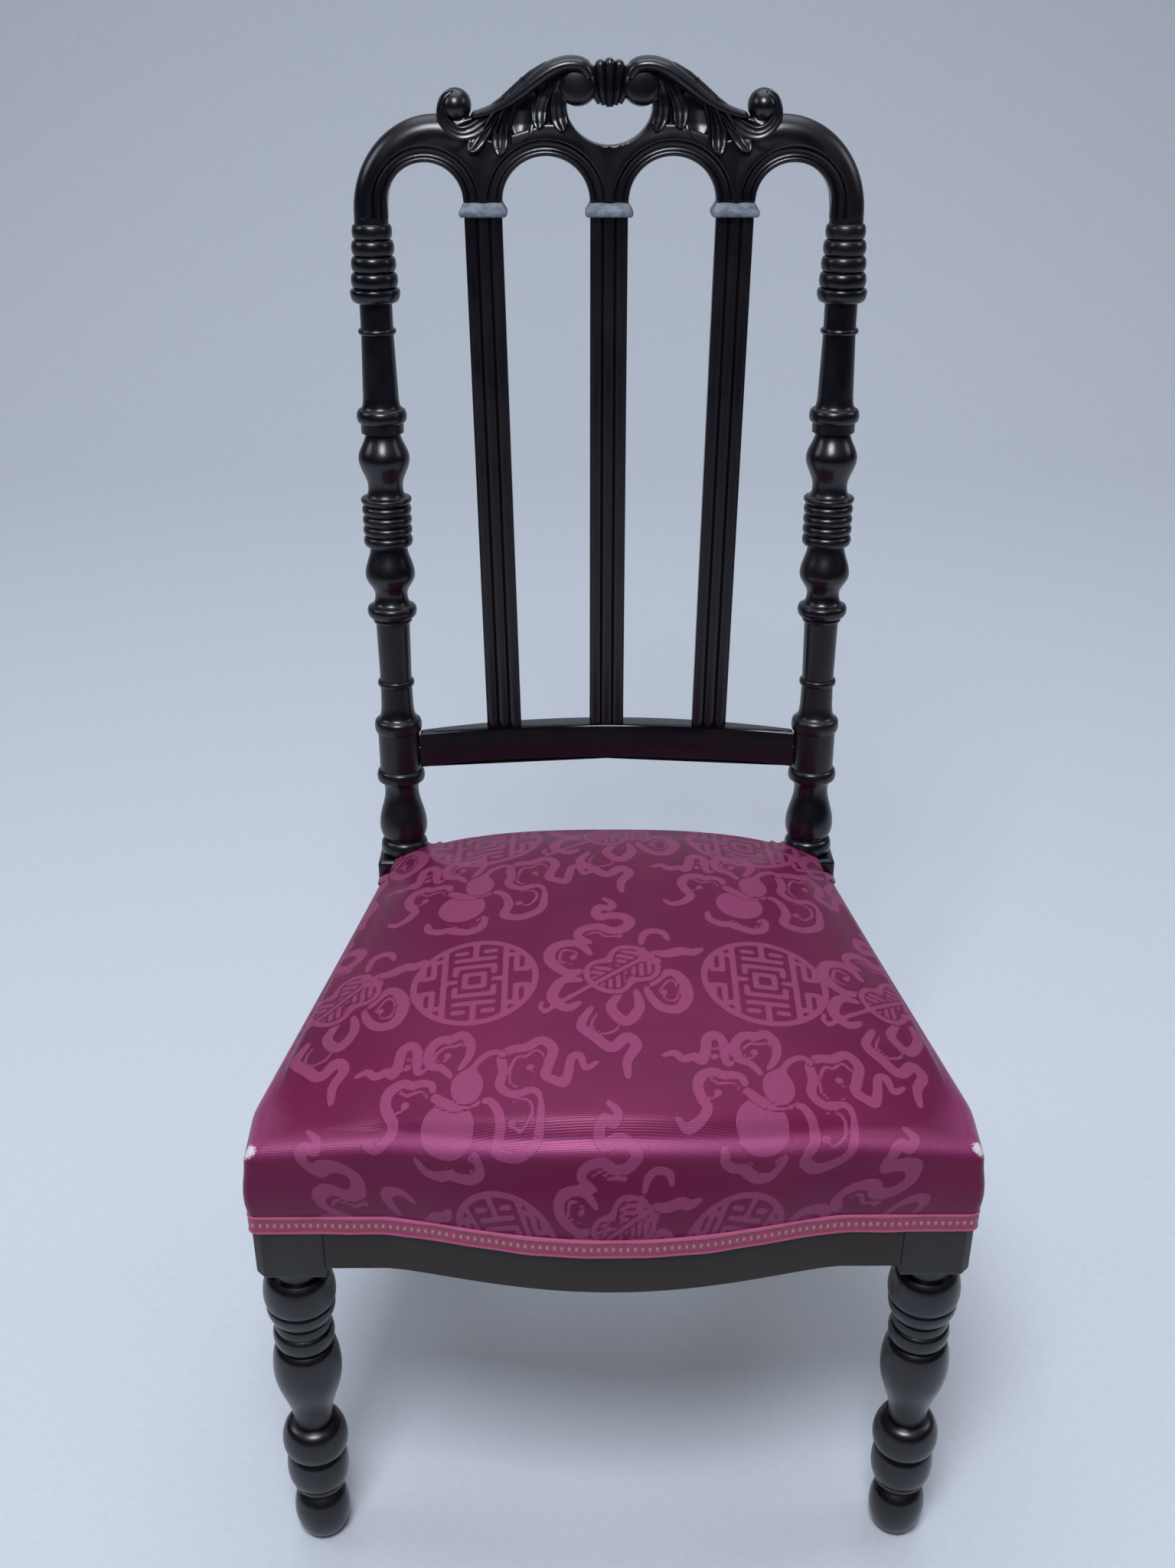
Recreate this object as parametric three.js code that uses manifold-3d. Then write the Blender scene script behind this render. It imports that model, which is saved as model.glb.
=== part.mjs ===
// An ebonised side chair with an arcaded, carved back, turned legs and a stuffed-over seat.
// Millimetres, +Z up, the sitter faces -Y. The chair is drawn with the front legs' axes on Y = 0
// and is moved at the end so that its origin lies on the floor under the middle of its box.
import * as THREE from 'three';
import { mergeVertices } from 'three/addons/utils/BufferGeometryUtils.js';
import Module from 'manifold-3d';

const wasm = await Module();
wasm.setup();

// Fits shared by every joint
const fit = 0.3;                  // clearance between two faces that meet
const overrun = 3;                // how far a cutting shape runs past the face that it opens

// Seat frame
const legSpacing = 428;           // between the axes of the front legs
const legBlockWidth = 47;
const legBlockBottom = 280;
const legBlockCant = 6;           // cut off the outer front corner of the block
const railBottom = 288;
const railHeight = 64;
const railTop = railBottom + railHeight; // the blocks and all four rails end level here
const frontRailThickness = 26;
const sideRailThickness = 24;
const backRailThickness = 22;
const rebateBelowTop = 22;
const rebateHeight = railTop - rebateBelowTop; // above it the show wood steps in for the cover
const rebateDepth = 2.7;
const frontBow = 22.5;            // how far the serpentine front swells forward
const frontBowHalfWidth = 150;
const bowFullnessShare = 1.4;

// Turned front legs
const legWidth = 49;              // the widest bead of the turning

// Back posts, measured along their lean from the floor
const backLeanDegrees = 8.7;
const postSplayDegrees = 0.69;
const postSpacingAtFloor = 307;   // between the two axes, carried down to the floor
const postLineBehindLegs = 257.5; // from the front legs' axes to the same point
const plinthWidth = 39.5;
const plinthTop = 399;
const postWidth = 37;             // the widest bead of the turning
const baseTurningHeight = 71;
const baseTurningTop = plinthTop + baseTurningHeight;
const plainStretchHeight = 30.5;  // takes the lower back rail
const plainStretchTop = baseTurningTop + plainStretchHeight;
const plainStretchWidth = 31.5;
const crestJoint = 878;           // where the crest rail sits on the posts
const postTenonWidth = 12;
const postTenonLength = 18;
const rearFootWidth = 30;
const rearFootBehindPostLine = 114;
const rearLegBendBelowRail = 6;
const rearLegRakeDegrees = 35;    // of the leg's curve where it meets the floor

// Lower back rail
const lowerRailRise = 1.5;        // above the start of the posts' plain stretch
const lowerRailBottom = baseTurningTop + lowerRailRise;
const lowerRailHeight = 28.5;
const lowerRailEndThickness = 9.5;
const lowerRailMiddleThickness = 18.5;
const lowerRailBow = 18;          // hollow of the front face in plan
const lowerRailTenonWidth = 7;
const lowerRailTenonLength = 12;

// Splats and capitals
const splatWidth = 26;
const splatThickness = 12;
const splatSpacingAtFoot = 79;
const splatSpacingAtHead = 86.7;
const splatSetBack = 1;           // behind the front face of the lower rail
const reedCount = 3;
const reedRise = 2.4;
const splatTenonWidth = 15;
const splatTenonThickness = 6;
const splatTenonLength = 12;
const capitalHeight = 9.5;
const capitalWidth = 33;
const capitalDepth = 22;

// Crest rail
const archSpringRise = 12;        // of the capitals' top, above the joint on the posts
const archSpring = crestJoint + archSpringRise;
const archStemWidth = 26.6;
const crestThickness = 19;
const crestEdgeRound = 4;
const shoulderTubeWidth = 24;
const shoulderRun = 45.5;         // half axes of the shoulder's centre line
const shoulderRise = 52;
const shoulderStraight = 5;       // below the start of the shoulder's bend
const shoulderStart = crestJoint + shoulderStraight;
const archBeadWidth = 3.2;
const crestValleyRise = 54;       // above the spring: the top edge beside the pebble scrolls
const crestPeakRise = 39;         // from there to the top
const crestValley = archSpring + crestValleyRise;
const crestTop = crestValley + crestPeakRise;
const pierceRise = 60;            // of the pierced opening's centre, above the spring
const pierceWidth = 60;
const pierceHeight = 48;
const pebbleSpacing = 107;        // from the middle of the chair
const pebbleAboveValley = 7;
const pebbleWidth = 24;
const voluteSpacing = 22;
const voluteBelowTop = 16.5;
const voluteWidth = 25;
const scrollWidth = 17;           // the C-scroll behind the volute
const leafWidth = 13;
const leafSunk = 2;               // how deep a leaf is let into the board
const palmetteLength = 31;
const palmetteLobeWidth = 8;

// Dowels, corner blocks and screws
const dowelWidth = 9;
const dowelLength = 44;
const blockReach = 38;            // along each rail
const blockHeight = 34;
const blockAboveRailBottom = 10;
const screwWidth = 4;
const screwHeadWidth = 8;
const screwLength = 30;
const screwHeadHeight = 3;

// Upholstery
const webbingWidth = 50;
const webbingThickness = 1.5;
const webbingSpacingAcross = 68;
const webbingSpacingAlong = 62;
const webbingFirstFromLegs = 45;
const webbingCount = 4;
const webbingInset = 6;           // from the outer faces of the rails
const hessianThickness = 0.8;
const coverThickness = 2;
const coverInset = 0.2;           // behind the face of the show wood
const coverClearance = 0.4;       // above the step in the show wood
const coverBottom = rebateHeight + coverClearance;
const postGap = 1;                // between the cover and the posts
const ridgeFrontRise = 39;        // of the stitched edge, above the rails
const ridgeRearRise = 33;
const ridgeFront = railTop + ridgeFrontRise;
const ridgeRear = railTop + ridgeRearRise;
const ridgeLift = 9;              // how much higher the edge is at mid span
const edgeRound = 13;
const coverBulge = 2.5;
const crownRise = 34;             // from the edge to the middle of the seat
const braidWidth = 15;
const braidThickness = 2;
const braidOverlap = 9;           // of the braid over the show wood
const braidBottom = rebateHeight - braidOverlap;
const cornerRadius = 6;

// Facets
const turningSides = 12;
const smallSides = 6;

const ebonised = { color: 0x1b1a20, roughness: 0.35, metalness: 0 };
const showWood = { color: 0x26221f, roughness: 0.5, metalness: 0 };
const greyCapital = { color: 0x6f757a, roughness: 0.6, metalness: 0 };
const rawBeech = { color: 0xb08a5c, roughness: 0.8, metalness: 0 };
const steel = { color: 0x7a7c80, roughness: 0.4, metalness: 0.9 };
const jute = { color: 0xa38a5f, roughness: 0.95, metalness: 0 };
const stuffing = { color: 0xc9bda3, roughness: 1, metalness: 0 };
const damask = { color: 0x6b1c40, roughness: 0.45, metalness: 0 };
const braid = { color: 0x9c2f55, roughness: 0.7, metalness: 0 };

const chair = new THREE.Group();
const V = (x, y, z) => new THREE.Vector3(x, y, z);
const mix = (a, b, share) => a + (b - a) * share;
const steps = (count) => Array.from({ length: count + 1 }, (_, i) => i / count);

// Booleans and plain solids

function solidOf(geometry) {
  const bare = geometry.clone();
  bare.deleteAttribute('normal');
  bare.deleteAttribute('uv');
  const merged = mergeVertices(bare);
  return new wasm.Manifold(new wasm.Mesh({
    numProp: 3,
    vertProperties: Float32Array.from(merged.attributes.position.array),
    triVerts: Uint32Array.from(merged.index.array),
  }));
}

function geometryOf(solid) {
  const mesh = solid.getMesh();
  const geometry = new THREE.BufferGeometry();
  const corners = Float32Array.from(mesh.vertProperties);
  geometry.setAttribute('position', new THREE.BufferAttribute(corners, 3));
  geometry.setIndex(new THREE.BufferAttribute(Uint32Array.from(mesh.triVerts), 1));
  geometry.computeVertexNormals();
  return geometry;
}

const join = (...parts) => geometryOf(parts.map(solidOf).reduce((a, b) => a.add(b)));
const cut = (body, ...tools) => geometryOf(
  tools.map(solidOf).reduce((a, b) => a.subtract(b), solidOf(body)));

// The outer skin alone, so that forms carved from one board enclose no hollow
function carvedWhole(geometry) {
  const skins = solidOf(geometry).decompose();
  return geometryOf(skins.reduce((a, b) => (a.volume() > b.volume() ? a : b)));
}

function mirrored(geometry) {
  const copy = geometry.index ? geometry.toNonIndexed() : geometry.clone();
  copy.applyMatrix4(new THREE.Matrix4().makeScale(-1, 1, 1));
  const position = copy.attributes.position;
  for (let i = 0; i < position.count; i += 3) {
    const second = V().fromBufferAttribute(position, i + 1);
    const third = V().fromBufferAttribute(position, i + 2);
    position.setXYZ(i + 1, third.x, third.y, third.z);
    position.setXYZ(i + 2, second.x, second.y, second.z);
  }
  copy.computeVertexNormals();
  return copy;
}

// A closed skin over rings of equally many points, each ring turning the same way
function loft(rings, capStart = true, capEnd = true) {
  const count = rings[0].length;
  const points = rings.flat();
  const index = [];
  for (let r = 0; r + 1 < rings.length; r += 1) {
    for (let i = 0; i < count; i += 1) {
      const a = r * count + i;
      const b = r * count + ((i + 1) % count);
      index.push(a, b, b + count, a, b + count, a + count);
    }
  }
  const cap = (ring, offset, flipped) => {
    const [origin, normal] = ringPlane(ring);
    const across = ring[0].clone().sub(origin).normalize();
    const along = V().crossVectors(normal, across);
    const flat = ring.map((p) => {
      const arm = p.clone().sub(origin);
      return new THREE.Vector2(arm.dot(across), arm.dot(along));
    });
    THREE.ShapeUtils.triangulateShape(flat, []).forEach(([a, b, c]) => {
      const turn = flipped ? [a, c, b] : [a, b, c];
      index.push(...turn.map((i) => i + offset));
    });
  };
  if (capStart) cap(rings[0], 0, true);
  if (capEnd) cap(rings[rings.length - 1], (rings.length - 1) * count, false);
  const geometry = new THREE.BufferGeometry();
  const corners = points.flatMap((p) => [p.x, p.y, p.z]);
  geometry.setAttribute('position', new THREE.Float32BufferAttribute(corners, 3));
  geometry.setIndex(index);
  geometry.computeVertexNormals();
  return geometry;
}

function ringPlane(ring) {
  const origin = ring.reduce((sum, p) => sum.add(p), V(0, 0, 0)).divideScalar(ring.length);
  const normal = ring.reduce((sum, p, i) => {
    const q = ring[(i + 1) % ring.length];
    return sum.add(V().crossVectors(p.clone().sub(origin), q.clone().sub(origin)));
  }, V(0, 0, 0)).normalize();
  return [origin, normal];
}

// A prism between two levels, whose plan may differ below and above
function prism(bottom, top, low, high) {
  return loft([bottom.map(([x, y]) => V(x, y, low)), top.map(([x, y]) => V(x, y, high))]);
}

function box(width, depth, height, centre) {
  return new THREE.BoxGeometry(width, depth, height).translate(centre.x, centre.y, centre.z);
}

function rod(start, end, width, sides = smallSides) {
  const axis = end.clone().sub(start);
  const geometry = new THREE.CylinderGeometry(width / 2, width / 2, axis.length(), sides);
  geometry.translate(0, axis.length() / 2, 0);
  const direction = axis.clone().normalize();
  geometry.applyQuaternion(new THREE.Quaternion().setFromUnitVectors(V(0, 1, 0), direction));
  return geometry.translate(start.x, start.y, start.z);
}

// A round bar along points in a plane, whose width changes from point to point
function taperedBar(points, widths, sides = smallSides) {
  const rings = points.map((p, i) => {
    const next = points[Math.min(i + 1, points.length - 1)];
    const tangent = next.clone().sub(points[Math.max(i - 1, 0)]).normalize();
    const side = V().crossVectors(V(0, 0, 1), tangent).normalize();
    return steps(sides).slice(0, sides).map((share) => {
      const angle = share * 2 * Math.PI;
      return p.clone()
        .addScaledVector(side, Math.cos(angle) * widths[i] / 2)
        .addScaledVector(V(0, 0, 1), Math.sin(angle) * widths[i] / 2);
    });
  });
  return loft(rings);
}

// Turnings: each row is [kind, top, width below, width above, crest], as shares of length and width

function turnedOutline(rows, length, width) {
  const outline = [];
  let low = 0;
  rows.forEach(([kind, top, below, above, crest]) => {
    const count = { line: 1, bead: 3, ball: 6, swell: 4, cove: 3, dome: 3, bowl: 3 }[kind];
    steps(count).forEach((t) => {
      const straight = mix(below, above, t);
      const swell = crest - mix(below, above, 1 / 2);
      const round = () => straight + swell * Math.sqrt(1 - (2 * t - 1) ** 2);
      const share = {
        line: () => straight,
        bead: round,
        ball: round,
        swell: () => mix(below, above, (1 - Math.cos(Math.PI * t)) / 2),
        cove: () => (below > above
          ? above + (below - above) * (1 - Math.sqrt(1 - (1 - t) ** 2))
          : below + (above - below) * (1 - Math.sqrt(1 - t ** 2))),
        dome: () => above + (below - above) * Math.sqrt(1 - t ** 2),
        bowl: () => below + (above - below) * Math.sqrt(1 - (1 - t) ** 2),
      }[kind]();
      outline.push(new THREE.Vector2(share * width / 2, mix(low, top, t) * length));
    });
    low = top;
  });
  return outline.filter((p, i) => i === 0 || p.distanceTo(outline[i - 1]) > fit / 10);
}

function turning(outline, sides = turningSides) {
  const low = new THREE.Vector2(0, outline[0].y);
  const high = new THREE.Vector2(0, outline[outline.length - 1].y);
  return new THREE.LatheGeometry([low, ...outline, high], sides);
}

const legTurningShares = [
  ['ball', 0.154, 0.45, 0.53, 0.82],    // ball foot
  ['line', 0.175, 0.53, 0.59],
  ['ball', 0.307, 0.66, 0.8, 0.91],     // lower ring
  ['ball', 0.414, 0.8, 0.64, 0.95],     // upper ring
  ['line', 0.425, 0.59, 0.58],
  ['swell', 0.614, 0.58, 0.98],         // vase
  ['dome', 0.7, 0.98, 0.8],
  ['bead', 0.793, 0.8, 0.78, 0.86],
  ['bead', 0.85, 0.78, 0.93, 0.97],     // double bead under the block
  ['bead', 0.946, 0.94, 0.82, 1],
  ['line', 1, 0.74, 0.74],
];

const baseTurningShares = [
  ['bead', 0.176, 0.89, 0.84, 0.97],
  ['bowl', 0.352, 0.78, 0.99],
  ['swell', 0.76, 0.99, 0.7],
  ['cove', 0.873, 0.7, 0.9],
  ['bead', 1, 0.9, 0.87, 0.99],
];

const stemTurningShares = [
  ['bead', 0.028, 0.87, 0.87, 0.97],    // collar over the lower rail
  ['cove', 0.062, 0.85, 0.66],
  ['line', 0.099, 0.66, 0.64],
  ['line', 0.112, 0.75, 0.75],
  ['line', 0.232, 0.64, 0.68],
  ['line', 0.243, 0.78, 0.78],
  ['bead', 0.268, 0.82, 0.85, 0.99],    // middle collar
  ['cove', 0.29, 0.85, 0.65],
  ['swell', 0.33, 0.65, 0.99],          // lower vase
  ['swell', 0.388, 0.99, 0.73],
  ['bead', 0.41, 0.86, 0.86, 0.97],     // stack of rings
  ['bead', 0.43, 0.86, 0.86, 0.97],
  ['bead', 0.45, 0.86, 0.86, 0.97],
  ['bead', 0.47, 0.86, 0.86, 0.97],
  ['bead', 0.485, 0.81, 0.9, 0.99],
  ['cove', 0.505, 0.84, 0.68],
  ['swell', 0.56, 0.68, 1],             // upper vase
  ['swell', 0.61, 1, 0.68],
  ['line', 0.629, 0.83, 0.83],
  ['bead', 0.655, 0.86, 0.84, 0.97],    // upper collar
  ['cove', 0.682, 0.81, 0.69],
  ['line', 0.794, 0.69, 0.62],
  ['line', 0.805, 0.73, 0.73],
  ['line', 0.852, 0.62, 0.62],
  ['bead', 0.878, 0.76, 0.85, 0.94],    // lip and four rings, smaller upward
  ['bead', 0.907, 0.76, 0.76, 0.89],
  ['bead', 0.936, 0.72, 0.72, 0.85],
  ['bead', 0.965, 0.68, 0.68, 0.81],
  ['bead', 0.993, 0.64, 0.64, 0.76],
  ['line', 1, 0.64, 0.64],
];

// Where things lie: the front, the sides, and the leaning line of the posts

const lean = THREE.MathUtils.degToRad(backLeanDegrees);
const splay = THREE.MathUtils.degToRad(postSplayDegrees);
const blockHalf = legBlockWidth / 2;
const seatHalfWidth = legSpacing / 2 + blockHalf;
const plinthHalf = plinthWidth / 2;

const postX = (z) => postSpacingAtFloor / 2 + Math.tan(splay) * z;
const postY = (z) => postLineBehindLegs + Math.tan(lean) * z;
const postFrontY = (z) => postY(z) - plinthHalf / Math.cos(lean);
const postRearY = (z) => postY(z) + plinthHalf / Math.cos(lean);
const postInnerX = (z) => postX(z) - plinthHalf;
const postOuterX = (z) => postX(z) + plinthHalf;

function bow(x) {
  const share = Math.min(Math.abs(x) / frontBowHalfWidth, 1);
  return frontBow * (1 - share ** 2) ** bowFullnessShare;
}
const frontY = (x) => -blockHalf - bow(x);
const bowPlaces = steps(14).map((share) => mix(-frontBowHalfWidth, frontBowHalfWidth, share));
const frontPlaces = (end) => [-end, ...bowPlaces, end];

const railMiddle = (railBottom + railTop) / 2;
const sideLength = postFrontY(railMiddle) - blockHalf;
const sideTaper = (seatHalfWidth - postOuterX(railMiddle)) / sideLength;
const sideX = (y) => seatHalfWidth - sideTaper * Math.max(y - blockHalf, 0);

// Local frame of the leaning back: X to the right, Y up along the lean, Z to the front
const backFrame = new THREE.Matrix4()
  .makeRotationX(Math.PI / 2 - lean)
  .setPosition(0, postLineBehindLegs, 0);
const postAxisX = (along) => postSpacingAtFloor / 2 + Math.tan(splay) * along;
const postFrame = backFrame.clone()
  .multiply(new THREE.Matrix4().makeTranslation(postSpacingAtFloor / 2, 0, 0))
  .multiply(new THREE.Matrix4().makeRotationZ(-splay));

// Dowels: two in every joint between a rail and a leg

const dowelHeightShares = { lower: 0.27, upper: 0.73 };
const backRailY = (z) => postRearY(z) - backRailThickness / 2;

function namedDowels(grow) {
  const half = dowelLength / 2 + grow;
  return Object.entries(dowelHeightShares).flatMap(([level, share]) => {
    const z = mix(railBottom, railTop, share);
    const frontX = legSpacing / 2 - blockHalf;
    const frontLine = frontY(frontX) + frontRailThickness / 2;
    const sideFrontX = seatHalfWidth - sideRailThickness / 2 - sideTaper * dowelLength / 4;
    const sideRearX = postOuterX(z) - sideRailThickness / 2;
    const inner = postInnerX(z);
    return [
      [`front_${level}`, V(frontX - half, frontLine, z), V(frontX + half, frontLine, z)],
      [`side_front_${level}`, V(sideFrontX, blockHalf - half, z), V(sideFrontX, blockHalf + half, z)],
      [`side_rear_${level}`, V(sideRearX, postFrontY(z) - half, z), V(sideRearX, postFrontY(z) + half, z)],
      [`back_${level}`, V(inner - half, backRailY(z), z), V(inner + half, backRailY(z), z)],
    ];
  }).map(([name, start, end]) => [name, rod(start, end, dowelWidth + 2 * grow)]);
}

const rightDowels = (grow) => namedDowels(grow).map(([, dowel]) => dowel);

// Front leg: square block over a turned leg, rebated where the cover comes over it

function frontLeg() {
  const blockPlan = (inset) => {
    const outer = blockHalf - inset;
    return [
      [-blockHalf, blockHalf], [-blockHalf, -outer],
      [outer - legBlockCant, -outer], [outer, legBlockCant - outer], [outer, blockHalf],
    ];
  };
  const lower = prism(blockPlan(0), blockPlan(0), legBlockBottom, rebateHeight);
  const upper = prism(blockPlan(rebateDepth), blockPlan(rebateDepth), rebateHeight - overrun, railTop);
  const shaft = turning(turnedOutline(legTurningShares, legBlockBottom + overrun, legWidth));
  shaft.rotateX(Math.PI / 2);
  const body = join(lower, upper, shaft);
  body.translate(legSpacing / 2, 0, 0);
  return cut(body, ...rightDowels(fit));
}

// Back post: the raked leg and plinth are lofted, the stile above them is turned

function rearLegCentre(share) {
  // Hermite curve from the floor to the straight stretch behind the side rail
  const top = railBottom - rearLegBendBelowRail;
  const footY = postLineBehindLegs + rearFootBehindPostLine;
  const rake = THREE.MathUtils.degToRad(rearLegRakeDegrees);
  const t = share;
  const y = (2 * t ** 3 - 3 * t ** 2 + 1) * footY
    + (t ** 3 - 2 * t ** 2 + t) * -top * Math.tan(rake)
    + (-2 * t ** 3 + 3 * t ** 2) * postY(top)
    + (t ** 3 - t ** 2) * top * Math.tan(lean);
  return V(postX(top * t), y, top * t);
}

function rearLegRing(centre, tangent, width) {
  const across = V(1, 0, 0);
  const deep = V().crossVectors(tangent, across).normalize();
  return [[-1, -1], [1, -1], [1, 1], [-1, 1]].map(([i, j]) => centre.clone()
    .addScaledVector(across, i * width / 2)
    .addScaledVector(deep, j * width / 2));
}

function backPost() {
  const up = V(0, Math.sin(lean), Math.cos(lean));
  const legSteps = 6;
  const rings = steps(legSteps).map((share) => {
    const before = rearLegCentre(Math.max(share - 1 / legSteps, 0));
    const after = rearLegCentre(Math.min(share + 1 / legSteps, 1));
    const tangent = share === 0 ? V(0, 0, 1) : after.sub(before).normalize();
    const width = mix(rearFootWidth, plinthWidth, Math.sqrt(share));
    return rearLegRing(rearLegCentre(share), share === 1 ? up : tangent, width);
  });
  const topCentre = V(postAxisX(plinthTop), plinthTop, 0).applyMatrix4(backFrame);
  rings.push(rearLegRing(topCentre, up, plinthWidth));
  const leg = loft(rings);
  const base = turnedOutline(baseTurningShares, baseTurningTop - plinthTop, postWidth);
  const stem = turnedOutline(stemTurningShares, crestJoint - plainStretchTop, postWidth);
  const plain = [baseTurningTop, plainStretchTop].map((y) => new THREE.Vector2(plainStretchWidth / 2, y));
  const stile = turning([
    new THREE.Vector2(base[0].x, plinthTop - overrun),
    ...base.map((p) => new THREE.Vector2(p.x, p.y + plinthTop)),
    ...plain,
    ...stem.map((p) => new THREE.Vector2(p.x, p.y + plainStretchTop)),
  ]);
  const tenon = rod(V(0, crestJoint - overrun, 0), V(0, crestJoint + postTenonLength, 0), postTenonWidth);
  const upper = join(stile, tenon).applyMatrix4(postFrame);
  const mortise = lowerRailTenon(fit).applyMatrix4(backFrame);
  return cut(join(leg, upper), mortise, ...rightDowels(fit));
}

// Lower back rail: straight along its height, hollow in plan, with a round tenon at each end

const lowerRailMiddle = lowerRailBottom + lowerRailHeight / 2;
const lowerRailEnd = postAxisX(lowerRailMiddle) - plainStretchWidth / 2 - fit;
const lowerRailFront = (x) => lowerRailEndThickness / 2 - lowerRailBow * (1 - (x / lowerRailEnd) ** 2);
const lowerRailRear = (x) => lowerRailFront(x)
  - mix(lowerRailMiddleThickness, lowerRailEndThickness, (x / lowerRailEnd) ** 2);

function lowerRailTenon(grow) {
  const start = V(lowerRailEnd - overrun, lowerRailMiddle, 0);
  const end = V(lowerRailEnd + lowerRailTenonLength + grow, lowerRailMiddle, 0);
  return rod(start, end, lowerRailTenonWidth + 2 * grow);
}

function lowerBackRail() {
  const across = steps(12).map((share) => mix(-lowerRailEnd, lowerRailEnd, share));
  const plan = [
    ...across.map((x) => [x, lowerRailFront(x)]),
    ...across.slice().reverse().map((x) => [x, lowerRailRear(x)]),
  ];
  const level = (y) => plan.map(([x, z]) => V(x, y, z));
  const bar = loft([level(lowerRailBottom), level(lowerRailBottom + lowerRailHeight)]);
  const right = lowerRailTenon(0);
  return cut(join(bar, right, mirrored(right)), ...[-1, 0, 1].map((side) => splatTenon(side, 'foot', fit)));
}

// Splats stand on the lower rail and lean into the crest rail

const splatBottom = lowerRailBottom + lowerRailHeight + fit;
const splatTop = archSpring - capitalHeight - 2 * fit;

function splatFrame(side) {
  const footX = side * splatSpacingAtFoot;
  const foot = V(footX, splatBottom, lowerRailFront(footX) - splatSetBack - splatThickness / 2);
  const head = V(side * splatSpacingAtHead, splatTop, 0);
  const axis = head.clone().sub(foot);
  const turn = new THREE.Quaternion().setFromUnitVectors(V(0, 1, 0), axis.clone().normalize());
  return { matrix: new THREE.Matrix4().compose(foot, turn, V(1, 1, 1)), length: axis.length() };
}

function splatTenon(side, end, grow) {
  const { matrix, length } = splatFrame(side);
  const through = end === 'foot' ? 0 : capitalHeight + 2 * fit;
  const reach = splatTenonLength + through + grow;
  const centre = end === 'foot' ? (overrun - reach) / 2 : length + (reach - overrun) / 2;
  const tenon = box(
    splatTenonWidth + 2 * grow, reach + overrun, splatTenonThickness + 2 * grow, V(0, centre, 0));
  return tenon.applyMatrix4(matrix);
}

function splat(side) {
  const { matrix, length } = splatFrame(side);
  const half = splatWidth / 2;
  const flat = splatThickness / 2 - reedRise;
  const reedWidth = splatWidth / reedCount;
  const reeds = Array.from({ length: reedCount }, (_, i) => steps(4).map((t) => [
    half - reedWidth * (i + t), flat + reedRise * Math.sin(Math.PI * t),
  ])).flat();
  const seen = reeds.filter(([x], i) => i === 0 || Math.abs(x - reeds[i - 1][0]) > fit / 10);
  const plan = [...seen, [-half, -splatThickness / 2], [half, -splatThickness / 2]].reverse();
  const level = (y) => plan.map(([x, z]) => V(x, y, z));
  const bar = loft([level(-overrun), level(length + overrun)]).applyMatrix4(matrix);
  const trim = (along) => box(2 * splatSpacingAtHead + 2 * splatWidth, 2 * overrun, 2 * lowerRailBow
    + 2 * splatThickness, V(side * splatSpacingAtHead, along, 0));
  const shouldered = cut(bar, trim(splatBottom - overrun), trim(splatTop + overrun));
  return join(shouldered, splatTenon(side, 'foot', 0), splatTenon(side, 'head', 0));
}

function capital(side) {
  const x = side * splatSpacingAtHead;
  const bottom = archSpring - capitalHeight - fit;
  // height share, then width and depth as shares of the way from the stem to the full size
  const ringShares = [[0, 0.5], [0.12, 1], [0.42, 1], [1, 0]];
  const rings = ringShares.map(([height, full]) => {
    const w = mix(archStemWidth, capitalWidth, full) / 2;
    const d = mix(crestThickness, capitalDepth, full) / 2;
    const y = bottom + height * capitalHeight;
    return [V(x - w, y, -d), V(x - w, y, d), V(x + w, y, d), V(x + w, y, -d)];
  });
  return cut(loft(rings), splatTenon(side, 'head', fit));
}

// Crest rail: arcaded board, round shoulders, and the carving that stands on its front

const innerArchRadius = (splatSpacingAtHead - archStemWidth) / 2;
const shoulderX = postAxisX(crestJoint);
const outerArchStart = splatSpacingAtHead + archStemWidth / 2;
const outerArchEnd = shoulderX - shoulderTubeWidth / 2;
const outerArchRadius = (outerArchEnd - outerArchStart) / 2;

const arc = (x, y, rx, ry, from, to, count) => steps(count).map((t) => {
  const angle = THREE.MathUtils.degToRad(mix(from, to, t));
  return new THREE.Vector2(x + rx * Math.cos(angle), y + ry * Math.sin(angle));
});

// Top edge from the shoulder to the middle: share of the half width, share of the rise
const crestEdgeShares = [[0.6, 0.04], [0.47, 0.17], [0.37, 0.42], [0.28, 0.68], [0.18, 0.83], [0.06, 0.8]];

function crestHalfOutline() {
  const stem = archStemWidth / 2;
  const below = archSpring - crestEdgeRound - overrun;
  const archSteps = 8;
  return [
    new THREE.Vector2(stem, below),
    ...arc(stem + innerArchRadius, archSpring, innerArchRadius, innerArchRadius, 180, 0, archSteps),
    new THREE.Vector2(splatSpacingAtHead - stem, below),
    new THREE.Vector2(splatSpacingAtHead + stem, below),
    ...arc(
      outerArchStart + outerArchRadius, archSpring, outerArchRadius, outerArchRadius, 180, 0, archSteps),
    new THREE.Vector2(shoulderX, archSpring),
    ...arc(shoulderX - shoulderRun, shoulderStart, shoulderRun, shoulderRise, 25, 90, 6),
    ...crestEdgeShares.map(([across, rise]) => new THREE.Vector2(
      across * shoulderX, mix(crestValley, crestTop, rise))),
  ];
}

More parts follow.
